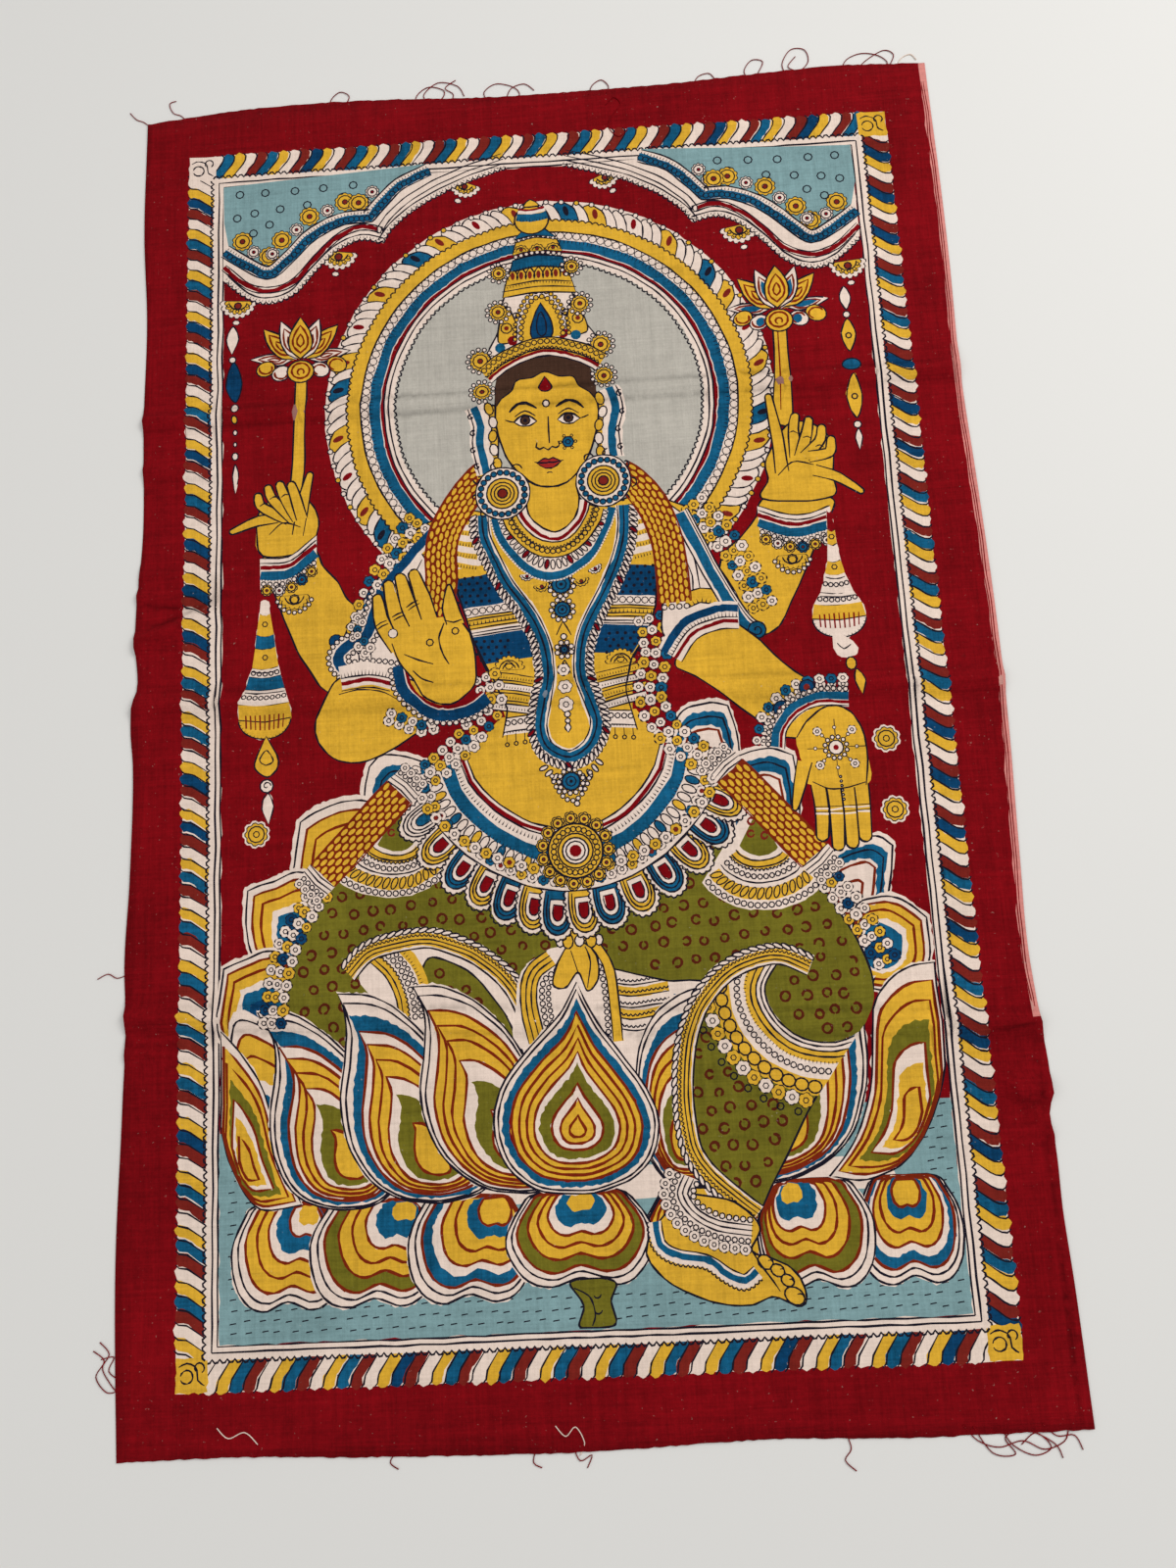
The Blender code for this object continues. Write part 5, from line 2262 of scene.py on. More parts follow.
TASSEL_LEFT = (
    Tier(9, 3.5, 2.5, "cream"), Tier(15, 6, 3.5, "mustard"), Tier(9, 7, 6, "blue"), Tier(14, 9, 7, "mustard"),
    Tier(6, 11, 9, "cream"), Tier(9, 13.5, 11, "blue"), Tier(11, 17.5, 13.5, "cream"),
    Tier(10, 18, 17.5, "mustard"),
)
TASSEL_RIGHT = (
    Tier(14, 2.5, 1.5, "madder"), Tier(10, 3.2, 2.5, "mustard"), Tier(12, 4.5, 3.2, "cream"),
    Tier(9, 6.5, 4.5, "mustard"),
    Tier(13, 11, 6.5, "cream"), Tier(8, 16, 11, "cream"), Tier(10, 18, 16, "mustard"),
)


def paint_tassel(x, top, tiers, fringe):
    """A hanging tassel: tiers that widen downwards, then a fringe, a drop and a last bead."""
    y = top
    side = [(x + tiers[0].half_high, top)]
    for tier in tiers:
        y -= tier.height
        side.append((x + tier.half_low, y))
    whole = smooth(
        side + [(x + 12, y - 9), (x, y - 15), (x - 12, y - 9)] + mirrored(side, x)[::-1], closed=True
    )
    wash("cream", whole, 0.3)
    y = top
    for tier in tiers:
        low = y - tier.height
        top_line = np.array([(x + tier.half_high * s, y - 1.5 * (1 - s * s)) for s in np.linspace(-1, 1, 9)])
        low_line = np.array([(x + tier.half_low * s, low - 1.8 * (1 - s * s)) for s in np.linspace(-1, 1, 9)])
        wash(tier.dye, np.vstack([low_line, top_line[::-1]]), 0.2, 0.1)
        pen(low_line, 0.8)
        if tier.dye == "cream" and tier.half_low > 6:
            beads((low_line + top_line) / 2, 2.0)
            pen(top_line - (0, 2.4), 0.7)
        if tier.dye == "mustard" and tier.half_low < 10:
            ring("ink", x, (low + y) / 2, 1.8, 0.7)
        y = low
    bowl = np.array([
        (x + tiers[-1].half_low * math.cos(a), y - 14 * math.sin(a)) for a in np.linspace(0, math.pi, 20)
    ])
    outlined("mustard" if fringe == "brown" else "cream", np.vstack([bowl, [(x, y - 2)]]), 0.8)
    for s in np.linspace(-0.72, 0.72, 9):
        px = x + tiers[-1].half_low * s
        length = 8 * math.sqrt(1 - s * s) + 3
        pen([(px, y + 3), (px * 0.97 + x * 0.03, y - length * 0.7)], 1.3, fringe)
    comb(bowl[::-1], 1.8, 2.6)
    return y - 14


def paint_tassels():
    y = paint_tassel(-199, 82, TASSEL_LEFT, "brown")
    drop = smooth(
        [
            (-198, y + 2), (-198, y + 2), (-191, y - 12), (-191, y - 20), (-198, y - 26), (-206, y - 20),
            (-205, y - 12),
        ],
        True,
    )
    outlined("mustard", drop, 0.85)
    pen(smooth([(-198, y - 8), (-194, y - 15), (-199, y - 18), (-203, y - 14)], True), 0.75, closed=True)
    spot(-198, y - 32, 5, "cream", 0.8)
    curl(-198, y - 32, 3, 0, 330, 0.7)
    outlined(
        "cream",
        smooth([(-197, y - 37), (-193, y - 46), (-197, y - 58), (-197, y - 58), (-201, y - 46)], True),
        0.7,
    )
    y = paint_tassel(189, 120, TASSEL_RIGHT, "madder")
    wash("cream", smooth([(184, y + 3), (192, y + 1), (200, y - 8), (196, y - 13), (186, y - 12)], True))
    pen(smooth([(186, y - 4), (190, y - 8), (195, y - 5)]), 0.75)
    spot(194, y - 18, 5, "mustard", 0.8, 0.8, 90)
    outlined(
        "mustard",
        smooth([(197, y - 22), (202, y - 30), (200, y - 40), (200, y - 40), (195, y - 31)], True),
        0.8,
    )


def paint_hangings():
    x = -222
    outlined("cream", smooth([(x, 290), (x + 4.5, 280), (x, 268), (x, 268), (x - 4.5, 280)], True), 0.8)
    spot(x, 264, 3, "cream")
    outlined("indigo", smooth([(x + 1, 262), (x + 7, 246), (x + 2, 231), (x - 5, 244)], True), 0.7)
    for k, size in enumerate((4, 3.2, 2.6, 2.2, 3.4)):
        spot(x + 2, 226 - k * 9, size, "mustard" if k == 1 else "cream", 0.75, 0.8, 90)
    outlined("cream", smooth([(x + 2, 184), (x + 4.5, 175), (x + 2, 162), (x + 2, 162), (x, 175)], True), 0.7)
    x = 214
    outlined("cream", smooth([(x, 286), (x + 4, 277), (x, 268), (x - 4, 277)], True), 0.8)
    spot(x, 264, 3, "cream")
    outlined("mustard", smooth([(x, 261), (x + 5, 249), (x, 236), (x - 5, 249)], True), 0.8)
    ring("ink", x, 248, 2)
    spot(x, 226, 7, "blue", 0.8, 0.75)
    outlined("mustard", smooth([(x, 218), (x + 5.5, 202), (x, 186), (x - 5.5, 202)], True), 0.8)
    ring("ink", x, 202, 2)
    spot(x, 181, 3.2, "cream")
    outlined("cream", smooth([(x, 178), (x + 2.5, 171), (x, 162), (x, 162), (x - 2.5, 171)], True), 0.7)
    for fx, fy in ((-205, -79), (212, -40), (213, -87)):
        shape("cream", frilled(fx, fy, 9.5, 9))
        rosette(fx, fy, 8.2, "mustard", "mustard", 9)


def paint_selvedge():
    """The woven edge down the upper part of the right side: undyed warp with a few red threads in it."""
    ys = np.arange(SELVEDGE_LOW, 474, 6.0)
    edge = cut_edge(RIGHT_EDGE, ys)
    inner = np.stack([edge - SELVEDGE_WIDTH, ys], axis=1)
    outer = np.stack([edge + 3, ys], axis=1)
    wash("selvedge", np.vstack([outer, inner[::-1]]), 0.3)
    for inset in (SELVEDGE_WIDTH - 0.7, 2.4):
        pen(np.stack([edge - inset, ys], axis=1)[1:-4], 0.55, "madder")


paint_selvedge()
paint_border()
paint_water()
paint_canopy(1)
paint_canopy(-1)
paint_halo()
paint_petals_behind()
paint_raised_arm_left()
paint_raised_arm_right()
paint_garment()
paint_waist_pleats()
paint_throne()
paint_right_leg()
paint_waist_fold()
paint_heart_petal()
paint_foot()
paint_turtle()
paint_hips()
outlined("mustard", smooth(TORSO, closed=True))
paint_skirt()
paint_bodice()
paint_belt_medallion()
paint_side_clusters()
paint_lower_garlands()
paint_shoulders()
paint_long_loop()
paint_pendants()
paint_necklaces()
paint_lower_pendant()
paint_garland(GARLAND_LEFT, False)
paint_garland(GARLAND_RIGHT, True)
paint_neck()
paint_face()
paint_crown()
paint_tiara()
paint_strands()
paint_front_arm_left()
paint_blessing_hand()
paint_front_arm_right()
paint_giving_hand()
paint_tassels()
paint_hangings()


# ---------------------------------------------------------------------------------------------------
# The cloth: the painting cut into triangles and laid over the folds
# ---------------------------------------------------------------------------------------------------


def outline_points():
    """The cut outline, anticlockwise from the bottom left. The raw ends are a little ragged."""
    def width_at(x, y):
        return x * np.where(x > 0, cut_edge(RIGHT_EDGE, y), cut_edge(LEFT_EDGE, y)) / HALF_WIDTH

    across = np.linspace(-HALF_WIDTH, HALF_WIDTH, 180)
    ragged = rng.uniform(-0.4, 0.4, (2, len(across)))
    ragged[:, (0, -1)] = 0
    bottom_y = -cut_edge(BOTTOM_EDGE, across) + ragged[0]
    top_y = cut_edge(TOP_EDGE, across) + ragged[1]
    bottom = np.stack([width_at(across, bottom_y), bottom_y], axis=1)
    top = np.stack([width_at(across, top_y), top_y], axis=1)
    right_y = np.linspace(bottom_y[-1], top_y[-1], 150)[1:-1]
    left_y = np.linspace(top_y[0], bottom_y[0], 150)[1:-1]
    right = np.stack([cut_edge(RIGHT_EDGE, right_y), right_y], axis=1)
    left = np.stack([-cut_edge(LEFT_EDGE, left_y), left_y], axis=1)
    return np.vstack([bottom, right, top[::-1], left])


# How one side of the painting is cut into triangles: the step of the grid inside it, whether the grid is
# finer along the creases, whether only the shapes that soak through are cut, how far a line of dye may
# be moved, and the longest straight line.
Cut = namedtuple("Cut", "step creased soaked_only slack reach")

FRONT_CUT = Cut(12.0, True, False, 0.30, 14.0)
BACK_CUT = Cut(19.0, False, True, 1.7, 12.0)
FOLD_OFFSETS = (-1, -0.66, -0.33, -0.15, 0, 0.15, 0.33, 0.66, 1)  # shares of the fold's half width
CREASE_OFFSETS = (-2.8, -1.2, 0, 1.2, 2.8)

OUTLINE = outline_points()
CENTRE = (OUTLINE.min(0) + OUTLINE.max(0)) / 2


def rows_across(line, shares, offsets, unit):
    """Points along a fold or crease, at shares of its length and at offsets to its left, in a unit."""
    start = np.array(line.start, float)
    run = np.array(line.end, float) - start
    side = np.array([-run[1], run[0]]) / np.hypot(*run)
    return [start + run * share + side * offset * unit for share in shares for offset in offsets]


def inner_grid(cut):
    """Points inside the outline, closer together across the folds."""
    xs = np.arange(-282, 283, cut.step)
    ys = np.arange(-450, 456, cut.step)
    rows = [(x, y) for y in ys for x in xs]
    for fold in FOLDS:
        count = max(5, round(math.dist(fold.start, fold.end) / 7))
        rows += rows_across(fold, np.linspace(0.003, 0.997, count), FOLD_OFFSETS, fold.half_width)
    for crease in CREASES if cut.creased else ():
        count = max(4, round(math.dist(crease.start, crease.end) / 9))
        rows += rows_across(crease, np.linspace(0.01, 0.99, count), CREASE_OFFSETS, 1.0)
    points = np.array(rows, float)
    left, right = cut_edge(LEFT_EDGE, points[:, 1]), cut_edge(RIGHT_EDGE, points[:, 1])
    return points[(points[:, 0] > 2 - left) & (points[:, 0] < right - 2)]


def wound(face, points):
    """A face's corners anticlockwise and ending at its lowest one, from which its inside is filled."""
    low = min(range(len(face)), key=lambda i: tuple(points[face[i]][::-1]))
    before, here, after = (np.array(points[face[(low + k) % len(face)]]) for k in (-1, 0, 1))
    ahead, back = after - here, before - here
    corners = list(face[low + 1 :]) + list(face[: low + 1])
    if ahead[0] * back[1] - ahead[1] * back[0] < 0:
        corners = corners[-2::-1] + corners[-1:]
    return corners


def painted_triangles(soaked_only):
    """Every shape cut against every other: (points, triangles, the dye on top of each triangle)."""
    points = [Vector(p) for p in OUTLINE]
    faces = [list(range(len(OUTLINE)))]
    dyes = [0]
    for face, dye, soaks in zip(art.faces, art.dyes, art.soaks):
        if soaks or not soaked_only:
            corners = wound(face, art.points)
            faces.append(list(range(len(points), len(points) + len(corners))))
            points.extend(Vector(art.points[i]) for i in corners)
            dyes.append(DYE_NAMES.index(dye))
    found = delaunay_2d_cdt(points, [], faces, 0, 1e-4, True)
    flat = np.array([tuple(p) for p in found[0]])
    kept = [
        (triangle, dyes[max(owners)])
        for triangle, owners in zip(found[2], found[5])
        if owners and min(owners) == 0
    ]
    return flat, np.array([triangle for triangle, _ in kept]), np.array([dye for _, dye in kept])


def visible_lines(triangles, dyes):
    """The edges where two dyes meet, and those of the cloth's outline."""
    edges = np.vstack([triangles[:, (0, 1)], triangles[:, (1, 2)], triangles[:, (2, 0)]])
    owner = np.tile(dyes, 3)
    edges.sort(axis=1)
    order = np.lexsort((edges[:, 1], edges[:, 0]))
    edges, owner = edges[order], owner[order]
    same = np.all(edges[1:] == edges[:-1], axis=1)
    paired = np.zeros(len(edges), bool)
    paired[1:] |= same
    paired[:-1] |= same
    meeting = same & (owner[1:] != owner[:-1])
    return edges[:-1][meeting], edges[~paired]


def chains(lines, rim):
    """Runs of visible lines between the places where they fork or end."""
    nearby = {}
    for a, b in lines:
        nearby.setdefault(a, []).append(b)
        nearby.setdefault(b, []).append(a)
    fixed = {v for v, others in nearby.items() if len(others) != 2 or v in rim}
    starts = [v for v in nearby if v in fixed] + [v for v in nearby if v not in fixed]
    used = set()
    for start in starts:
        for step in nearby[start]:
            if (start, step) in used:
                continue
            chain, here, there = [start], start, step
            while True:
                used.update(((here, there), (there, here)))
                chain.append(there)
                if there in fixed or there == start:
                    break
                ahead = [v for v in nearby[there] if v != here]
                here, there = there, ahead[0]
            yield chain


def cut_painting(cut):
    """(points, triangles, dye names) of the painting within the cloth's outline, as few as show it."""
    flat, triangles, dyes = painted_triangles(cut.soaked_only)
    lines, rim_edges = visible_lines(triangles, dyes)
    rim = set(rim_edges.ravel().tolist())
    edges = [tuple(edge) for edge in rim_edges.tolist()]
    for chain in chains(lines.tolist(), rim):
        closed = chain[0] == chain[-1]
        path = flat[chain]
        kept = thinned(path[:-1] if closed else path, cut.slack, closed, cut.reach)
        lookup = {tuple(flat[v]): v for v in chain}
        stops = [lookup[tuple(p)] for p in kept]
        if closed:
            stops.append(stops[0])
        edges.extend(zip(stops, stops[1:]))
    used = sorted({v for edge in edges for v in edge})
    number = {v: i for i, v in enumerate(used)}
    points = [Vector(flat[v]) for v in used] + [Vector(p) for p in inner_grid(cut)]
    found = delaunay_2d_cdt(points, [(number[a], number[b]) for a, b in edges], [], 0, 1e-4, False)
    clean = np.array([tuple(p) for p in found[0]])
    tree = BVHTree.FromPolygons([(x, y, 0) for x, y in flat], triangles.tolist())
    kept, names = [], []
    for triangle in found[2]:
        x, y = clean[triangle].mean(axis=0)
        hit = tree.ray_cast((x, y, 1), (0, 0, -1))[2]
        if hit is not None:
            kept.append(triangle)
            names.append(DYE_NAMES[dyes[hit]])
    return clean, kept, names


def boundary(triangles):
    """The outer edges of a triangle mesh, each in its triangle's direction."""
    edges = {}
    for a, b, c in triangles:
        for edge in ((a, b), (b, c), (c, a)):
            edges[edge] = True
    return [edge for edge in edges if (edge[1], edge[0]) not in edges]


# The flat places of the painted face, the back and the cut edge on the map: left, bottom, width, height.
FACE_AREA = (0.002, 0.002, 0.70, 0.996)
BACK_AREA = (0.712, 0.002, 0.286, 0.455)
RIM_AREA = (0.712, 0.47, 0.286, 0.528)


def unfold(mesh, flat, front_end, back_end):
    """A map on which the painted face takes most of the room, and the cut edge a grid of small cells."""
    low, high = OUTLINE.min(0) - 1, OUTLINE.max(0) + 1
    shares = (flat - low) / (high - low)
    corners = np.empty(len(mesh.loops), int)
    mesh.loops.foreach_get("vertex_index", corners)
    starts = np.empty(len(mesh.polygons), int)
    mesh.polygons.foreach_get("loop_start", starts)
    places = np.empty((len(corners), 2))
    for first, last, area in (
        (0, starts[front_end], FACE_AREA), (starts[front_end], starts[back_end], BACK_AREA)
    ):
        left, bottom, width, height = area
        places[first:last] = shares[corners[first:last]] * (width, height) + (left, bottom)
    left, bottom, width, height = RIM_AREA
    count = len(mesh.polygons) - back_end
    columns = math.ceil(math.sqrt(count))
    for k in range(count):
        row, column = divmod(k, columns)
        cell = np.array([left + width * column / columns, bottom + height * row / columns])
        size = np.array([width, height]) / columns * 0.8
        places[
            starts[back_end + k] : starts[back_end + k] + 4
        ] = cell + size * ((0, 1), (0, 0), (1, 0), (1, 1))
    mesh.uv_layers.new(name="OFBake").uv.foreach_set("vector", places.ravel())


def make_panel():
    """One closed sheet: the painted face, the back, which the larger shapes soak through to, and the rim."""
    front, front_faces, front_dyes = cut_painting(FRONT_CUT)
    back, back_faces, back_dyes = cut_painting(BACK_CUT)
    first_back = len(front)
    flat = np.vstack([front, back])
    height = cloth_height(flat[:, 0], flat[:, 1])
    height[:first_back] += CLOTH_THICKNESS
    height[first_back:] *= UNDERSIDE_RISE
    verts = np.column_stack([(flat - CENTRE), height]) * MM
    faces = [tuple(f) for f in front_faces]
    faces += [(first_back + c, first_back + b, first_back + a) for a, b, c in back_faces]
    names = front_dyes + back_dyes
    below = {tuple(np.round(back[i], 2)): first_back + i for edge in boundary(back_faces) for i in edge}
    for a, b in boundary(front_faces):
        low_a, low_b = (below[tuple(np.round(front[i], 2))] for i in (a, b))
        faces.append((a, low_a, low_b, b))
        names.append("madder")
    mesh = bpy.data.meshes.new("kalamkari_cloth")
    mesh.from_pydata(verts.tolist(), [], faces)
    used = sorted(set(names))
    for name in used:
        mesh.materials.append(dye_material(name))
    index = {name: i for i, name in enumerate(used)}
    mesh.polygons.foreach_set("material_index", [index[name] for name in names])
    reverse = mesh.attributes.new("reverse", "FLOAT", "FACE")
    reverse.data.foreach_set("value", [0.0] * len(front_faces) + [1.0] * (len(faces) - len(front_faces)))
    # Painted shade along the creases, for each vertex: the materials darken the colour by it.
    crease = mesh.attributes.new("crease", "FLOAT", "POINT")
    crease.data.foreach_set("value", crease_painted_shade(flat[:, 0], flat[:, 1]))
    unfold(mesh, flat, len(front_faces), len(front_faces) + len(back_faces))
    mesh.shade_smooth()
    mesh.update()
    panel = bpy.data.objects.new("kalamkari_cloth", mesh)
    bpy.context.scene.collection.objects.link(panel)
    return panel


# ---------------------------------------------------------------------------------------------------
# The material of each dye
# ---------------------------------------------------------------------------------------------------


BARE_COTTON = (0.55, 0.46, 0.38, 1)
BACK_PALENESS = 0.3  # how far the back's dyes fade towards bare cotton
# Painted shade: how much darker the colour is made along the creases.
CREASE_PAINTED_SHADE = 0.55
TONE_LOW, TONE_HIGH = 4.35, 6.15  # the range of the weighted sum of the textures below


def node(tree, kind, **settings):
    """A new node with its settings."""
    made = tree.nodes.new(kind)
    for key, value in settings.items():
        setattr(made, key, value)
    return made


def dye_material(name):
    """Dyed plain-weave cotton: uneven dye, warp and weft of slightly different tones, a woven bump, and
    painted shade along the creases.
    """
    dye = DYES[name]
    if "dye_" + name in bpy.data.materials:
        return bpy.data.materials["dye_" + name]
    material = bpy.data.materials.new("dye_" + name)
    material.use_nodes = True
    tree = material.node_tree
    shader = tree.nodes["Principled BSDF"]
    shader.inputs["Roughness"].default_value = dye.roughness
    shader.inputs["Specular IOR Level"].default_value = 0.05
    place = node(tree, "ShaderNodeTexCoord")
    link = tree.links.new

    def noise(scale, size, detail):
        """Noise on the cloth's own coordinates, stretched by a scale for each axis."""
        mapping = node(tree, "ShaderNodeMapping")
        mapping.inputs["Scale"].default_value = scale
        link(place.outputs["Object"], mapping.inputs["Vector"])
        made = node(tree, "ShaderNodeTexNoise")
        made.inputs["Scale"].default_value = size
        made.inputs["Detail"].default_value = detail
        made.inputs["Roughness"].default_value = 0.6
        link(mapping.outputs["Vector"], made.inputs["Vector"])
        return made.outputs["Fac"]

    def maths(operation, a, b):
        made = node(tree, "ShaderNodeMath", operation=operation)
        for socket, value in zip(made.inputs, (a, b)):
            if isinstance(value, (int, float)):
                socket.default_value = value
            else:
                link(value, socket)
        return made.outputs[0]

    def ranged(value, low, high, to_low, to_high):
        """A value between low and high, mapped to between to_low and to_high."""
        made = node(tree, "ShaderNodeMapRange")
        made.inputs["From Min"].default_value = low
        made.inputs["From Max"].default_value = high
        made.inputs["To Min"].default_value = to_low
        made.inputs["To Max"].default_value = to_high
        link(value, made.inputs["Value"])
        return made.outputs["Result"]

    patches = noise((1, 1, 1), 17, 6)
    blotches = noise((1, 1, 1), 110, 4)
    grain = noise((1, 1, 1), 520, 3)
    warp = noise((1, 0.05, 1), 700, 3)
    weft = noise((0.05, 1, 1), 700, 3)
    threads = maths("ADD", warp, weft)
    slubs = maths("ADD", noise((1, 0.035, 1), 240, 2), noise((0.035, 1, 1), 240, 2))
    tone = maths("MULTIPLY", patches, 2.2)
    for texture, weight in ((threads, 1.6), (slubs, 1.1), (blotches, 1.3), (grain, 1.6)):
        tone = maths("ADD", tone, maths("MULTIPLY", texture, weight))
    strength = ranged(tone, TONE_LOW, TONE_HIGH, 1 - dye.mottle, 1 + dye.mottle)
    # Painted shade: the colour is made darker along the creases, by the crease attribute.
    crease = node(tree, "ShaderNodeAttribute", attribute_name="crease")
    painted_shade_factor = maths("SUBTRACT", 1.0, maths("MULTIPLY", crease.outputs["Fac"], CREASE_PAINTED_SHADE))
    shade = maths("MULTIPLY", strength, painted_shade_factor)
    tint = node(tree, "ShaderNodeVectorMath", operation="SCALE")
    tint.inputs[0].default_value = dye.colour
    link(shade, tint.inputs["Scale"])
    bare = ranged(noise((1, 1, 1), 430, 2), 0.71, 0.82, 0.0, 0.40)
    reverse = node(tree, "ShaderNodeAttribute", attribute_name="reverse")
    faded = node(tree, "ShaderNodeMix", data_type="RGBA")
    paler = maths("MULTIPLY", reverse.outputs["Fac"], BACK_PALENESS)
    link(maths("MAXIMUM", bare, paler), faded.inputs["Factor"])
    link(tint.outputs[0], faded.inputs["A"])
    faded.inputs["B"].default_value = BARE_COTTON
    link(faded.outputs["Result"], shader.inputs["Base Color"])
    bump = node(tree, "ShaderNodeBump")
    bump.inputs["Strength"].default_value = 0.6
    bump.inputs["Distance"].default_value = 0.0006
    link(maths("ADD", maths("ADD", threads, slubs), maths("MULTIPLY", grain, 0.7)), bump.inputs["Height"])
    link(bump.outputs["Normal"], shader.inputs["Normal"])
    return material


# ---------------------------------------------------------------------------------------------------
# Loose yarns: frayed from the cut ends, and a few lying on the cloth
# ---------------------------------------------------------------------------------------------------

YARN_RADIUS = 0.33
YARN_SIDES = 5
CLOTH_REACH_X, CLOTH_REACH_Y = 287, 457  # past these a yarn lies on the floor

# Each yarn's dye, and its route from the cloth outwards, in millimetres on the flat.
Yarn = namedtuple("Yarn", "dye route")

YARNS = (
    Yarn("madder", [(-284, 458), (-290, 464), (-296, 467), (-301, 473)]),
    Yarn("madder", [(-256, 460), (-262, 467), (-268, 470), (-271, 478), (-266, 480)]),
    Yarn("madder", [(-146, 460), (-149, 469), (-142, 476), (-135, 472), (-137, 464), (-130, 461)]),
    Yarn(
        "madder",
        [
            (-86, 459), (-84, 468), (-75, 474), (-64, 470), (-66, 463), (-75, 461), (-79, 468),
            (-68, 477), (-54, 473), (-49, 464),
        ],
    ),
    Yarn("madder", [(-60, 458), (-57, 466), (-63, 472), (-55, 478)]),
    Yarn("madder", [(-32, 458), (-34, 466), (-25, 472), (-12, 468), (-8, 461), (-16, 458)]),
    Yarn("madder", [(-18, 458), (-14, 467), (-4, 470), (3, 464)]),
    Yarn("madder", [(43, 456), (46, 464), (53, 468), (58, 462), (56, 456)]),
    Yarn("madder", [(55, 446), (61, 452), (66, 446), (60, 438), (56, 428), (63, 419), (70, 424)]),
    Yarn("madder", [(120, 457), (124, 464), (132, 466), (136, 461)]),
    Yarn("madder", [(160, 458), (158, 466), (164, 474), (172, 472), (168, 463)]),
    Yarn(
        "madder",
        [(188, 459), (186, 469), (193, 480), (203, 479), (205, 469), (198, 462), (190, 466), (196, 474)],
    ),
    Yarn("madder", [(228, 459), (233, 468), (244, 472), (256, 469), (262, 462), (254, 457)]),
    Yarn("madder", [(240, 459), (247, 466), (260, 473), (267, 469), (264, 461)]),
    Yarn("cream", [(268, 457), (272, 465), (279, 468), (283, 463)]),
    Yarn(
        "madder",
        [(216, -454), (224, -463), (236, -467), (250, -464), (262, -469), (274, -465), (277, -458)],
    ),
    Yarn(
        "madder",
        [(222, -455), (232, -470), (245, -471), (240, -462), (252, -458), (268, -466), (272, -474)],
    ),
    Yarn("madder", [(238, -456), (244, -466), (256, -472), (266, -468), (258, -460), (249, -466)]),
    Yarn("madder", [(262, -455), (270, -462), (280, -462), (284, -470)]),
    Yarn("madder", [(148, -457), (150, -465), (146, -471), (152, -477)]),
    Yarn("madder", [(-36, -458), (-38, -466), (-33, -469)]),
    Yarn("madder", [(-14, -458), (-10, -466), (-3, -463), (-6, -470)]),
    Yarn("madder", [(-120, -457), (-124, -463), (-119, -467)]),
    Yarn("cream", [(-229, -440), (-222, -446), (-212, -443), (-204, -450)]),
    Yarn("cream", [(-24, -446), (-18, -452), (-12, -447), (-7, -456), (-10, -463)]),
    Yarn("madder", [(-290, -420), (-296, -413), (-301, -404), (-297, -396), (-303, -389)]),
    Yarn("madder", [(-290, -417), (-298, -418), (-305, -409), (-300, -400), (-307, -394)]),
    Yarn("madder", [(-289, -412), (-297, -406), (-294, -398), (-302, -399)]),
    Yarn("madder", [(-290, -166), (-297, -168), (-303, -165), (-310, -168)]),
)


def yarn_tube(route):
    """A yarn's vertices and faces: a thin tube that lies on the cloth, and on the floor past its edge."""
    path = smooth(route, step=2.0)
    on_cloth = (np.abs(path[:, 1]) < CLOTH_REACH_Y) & (np.abs(path[:, 0]) < CLOTH_REACH_X)
    height = np.where(on_cloth, cloth_height(path[:, 0], path[:, 1]) + CLOTH_THICKNESS, 0.0) + YARN_RADIUS
    height = np.convolve(np.pad(height, 1, "edge"), (0.25, 0.5, 0.25), "valid")
    height = np.maximum(height, np.where(on_cloth, height, YARN_RADIUS))
    along = directions(path)
    side = np.stack([-along[:, 1], along[:, 0]], axis=1)
    turns = 2 * math.pi * np.arange(YARN_SIDES) / YARN_SIDES
    verts = []
    for (x, y), z, (u, v) in zip(path - CENTRE, height, side):
        for turn in turns:
            across = YARN_RADIUS * math.cos(turn)
            verts.append((x + u * across, y + v * across, z + YARN_RADIUS * math.sin(turn)))
    faces = []
    for i in range(len(path) - 1):
        for k in range(YARN_SIDES):
            here, beyond = i * YARN_SIDES + k, i * YARN_SIDES + (k + 1) % YARN_SIDES
            faces.append((here, beyond, beyond + YARN_SIDES, here + YARN_SIDES))
    last = (len(path) - 1) * YARN_SIDES
    faces.append(tuple(range(YARN_SIDES))[::-1])
    faces.append(tuple(range(last, last + YARN_SIDES)))
    return verts, faces


def make_yarns():
    verts, faces, slots = [], [], []
    dyes = sorted({yarn.dye for yarn in YARNS})
    for yarn in YARNS:
        points, sides = yarn_tube(yarn.route)
        faces.extend(tuple(len(verts) + i for i in face) for face in sides)
        verts.extend(points)
        slots.extend([dyes.index(yarn.dye)] * len(sides))
    mesh = bpy.data.meshes.new("loose_yarns")
    mesh.from_pydata((np.array(verts) * MM).tolist(), [], faces)
    for dye in dyes:
        mesh.materials.append(dye_material(dye))
    mesh.polygons.foreach_set("material_index", slots)
    mesh.shade_smooth()
    mesh.update()
    yarns = bpy.data.objects.new("loose_yarns", mesh)
    bpy.context.scene.collection.objects.link(yarns)
    return yarns


panel = make_panel()
yarns = make_yarns()
for piece in (panel, yarns):
    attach(piece, "root")
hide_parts("panel_cloth")

# ---------------------------------------------------------------------------------------------------
# Floor, light and camera
# ---------------------------------------------------------------------------------------------------


FLOOR_HALF = 3.0
FLOOR_Z = -0.0002  # just below the cloth, so that the two surfaces never coincide
CAMERA_LENS = 26.0
CAMERA_PLACE = (0.044, -0.190, 0.732)  # from the middle of the cut length
CAMERA_FORWARD = (-0.038, 0.177, -0.984)
CAMERA_RIGHT = (0.997, -0.052, -0.048)


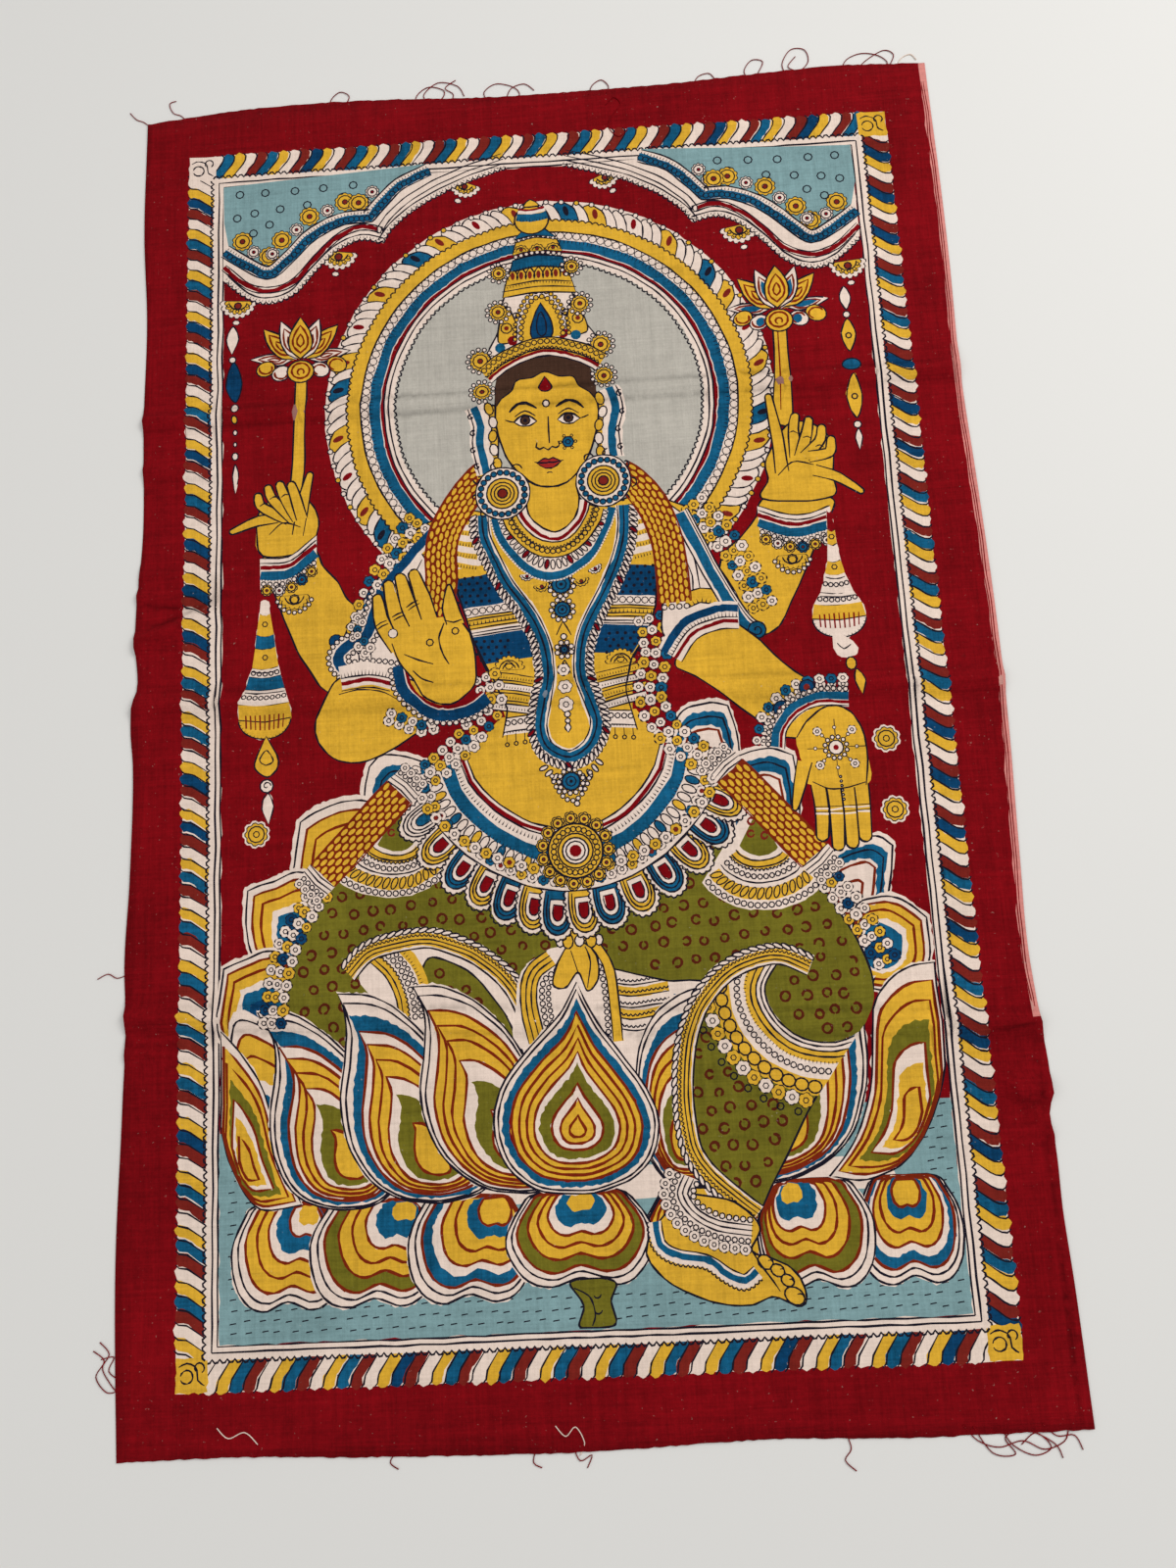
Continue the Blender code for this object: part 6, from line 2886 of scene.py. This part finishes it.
def make_floor():
    mesh = bpy.data.meshes.new("floor")
    corners = [(x * FLOOR_HALF, y * FLOOR_HALF, 0) for x, y in ((-1, -1), (1, -1), (1, 1), (-1, 1))]
    mesh.from_pydata(corners, [], [(0, 1, 2, 3)])
    material = bpy.data.materials.new("pale_floor")
    material.use_nodes = True
    shader = material.node_tree.nodes["Principled BSDF"]
    shader.inputs["Base Color"].default_value = (0.72, 0.70, 0.66, 1)
    shader.inputs["Roughness"].default_value = 0.8
    mesh.materials.append(material)
    floor = bpy.data.objects.new("floor", mesh)
    floor.location.z = FLOOR_Z
    bpy.context.scene.collection.objects.link(floor)


def make_light(name, place, target, size, power):
    lamp = bpy.data.lights.new(name, "AREA")
    lamp.shape = "DISK"
    lamp.size = size
    lamp.energy = power
    obj = bpy.data.objects.new(name, lamp)
    obj.location = place
    obj.rotation_euler = (Vector(target) - Vector(place)).to_track_quat("-Z", "Y").to_euler()
    bpy.context.scene.collection.objects.link(obj)


def make_camera():
    data = bpy.data.cameras.new("camera")
    data.lens = CAMERA_LENS
    data.sensor_width = 36.0
    camera = bpy.data.objects.new("camera", data)
    place = Vector(CAMERA_PLACE) - Vector((*CENTRE, 0)) * MM
    forward = Vector(CAMERA_FORWARD).normalized()
    right = Vector(CAMERA_RIGHT).normalized()
    up = right.cross(forward).normalized()
    right = forward.cross(up)
    axes = Matrix((right, up, -forward)).transposed()
    camera.matrix_world = Matrix.Translation(place) @ axes.to_4x4()
    bpy.context.scene.collection.objects.link(camera)
    bpy.context.scene.camera = camera


make_floor()
make_light("window", (1.6, 0.9, 1.7), (0, 0, 0), 1.5, 36)
make_light("fill", (-1.5, -0.7, 1.9), (0, 0, 0), 2.4, 12)
world = bpy.data.worlds.new("studio")
world.use_nodes = True
world.node_tree.nodes["Background"].inputs["Color"].default_value = (0.95, 0.97, 1.0, 1)
world.node_tree.nodes["Background"].inputs["Strength"].default_value = 0.55
bpy.context.scene.world = world
bpy.context.scene.view_settings.view_transform = "Standard"
make_camera()
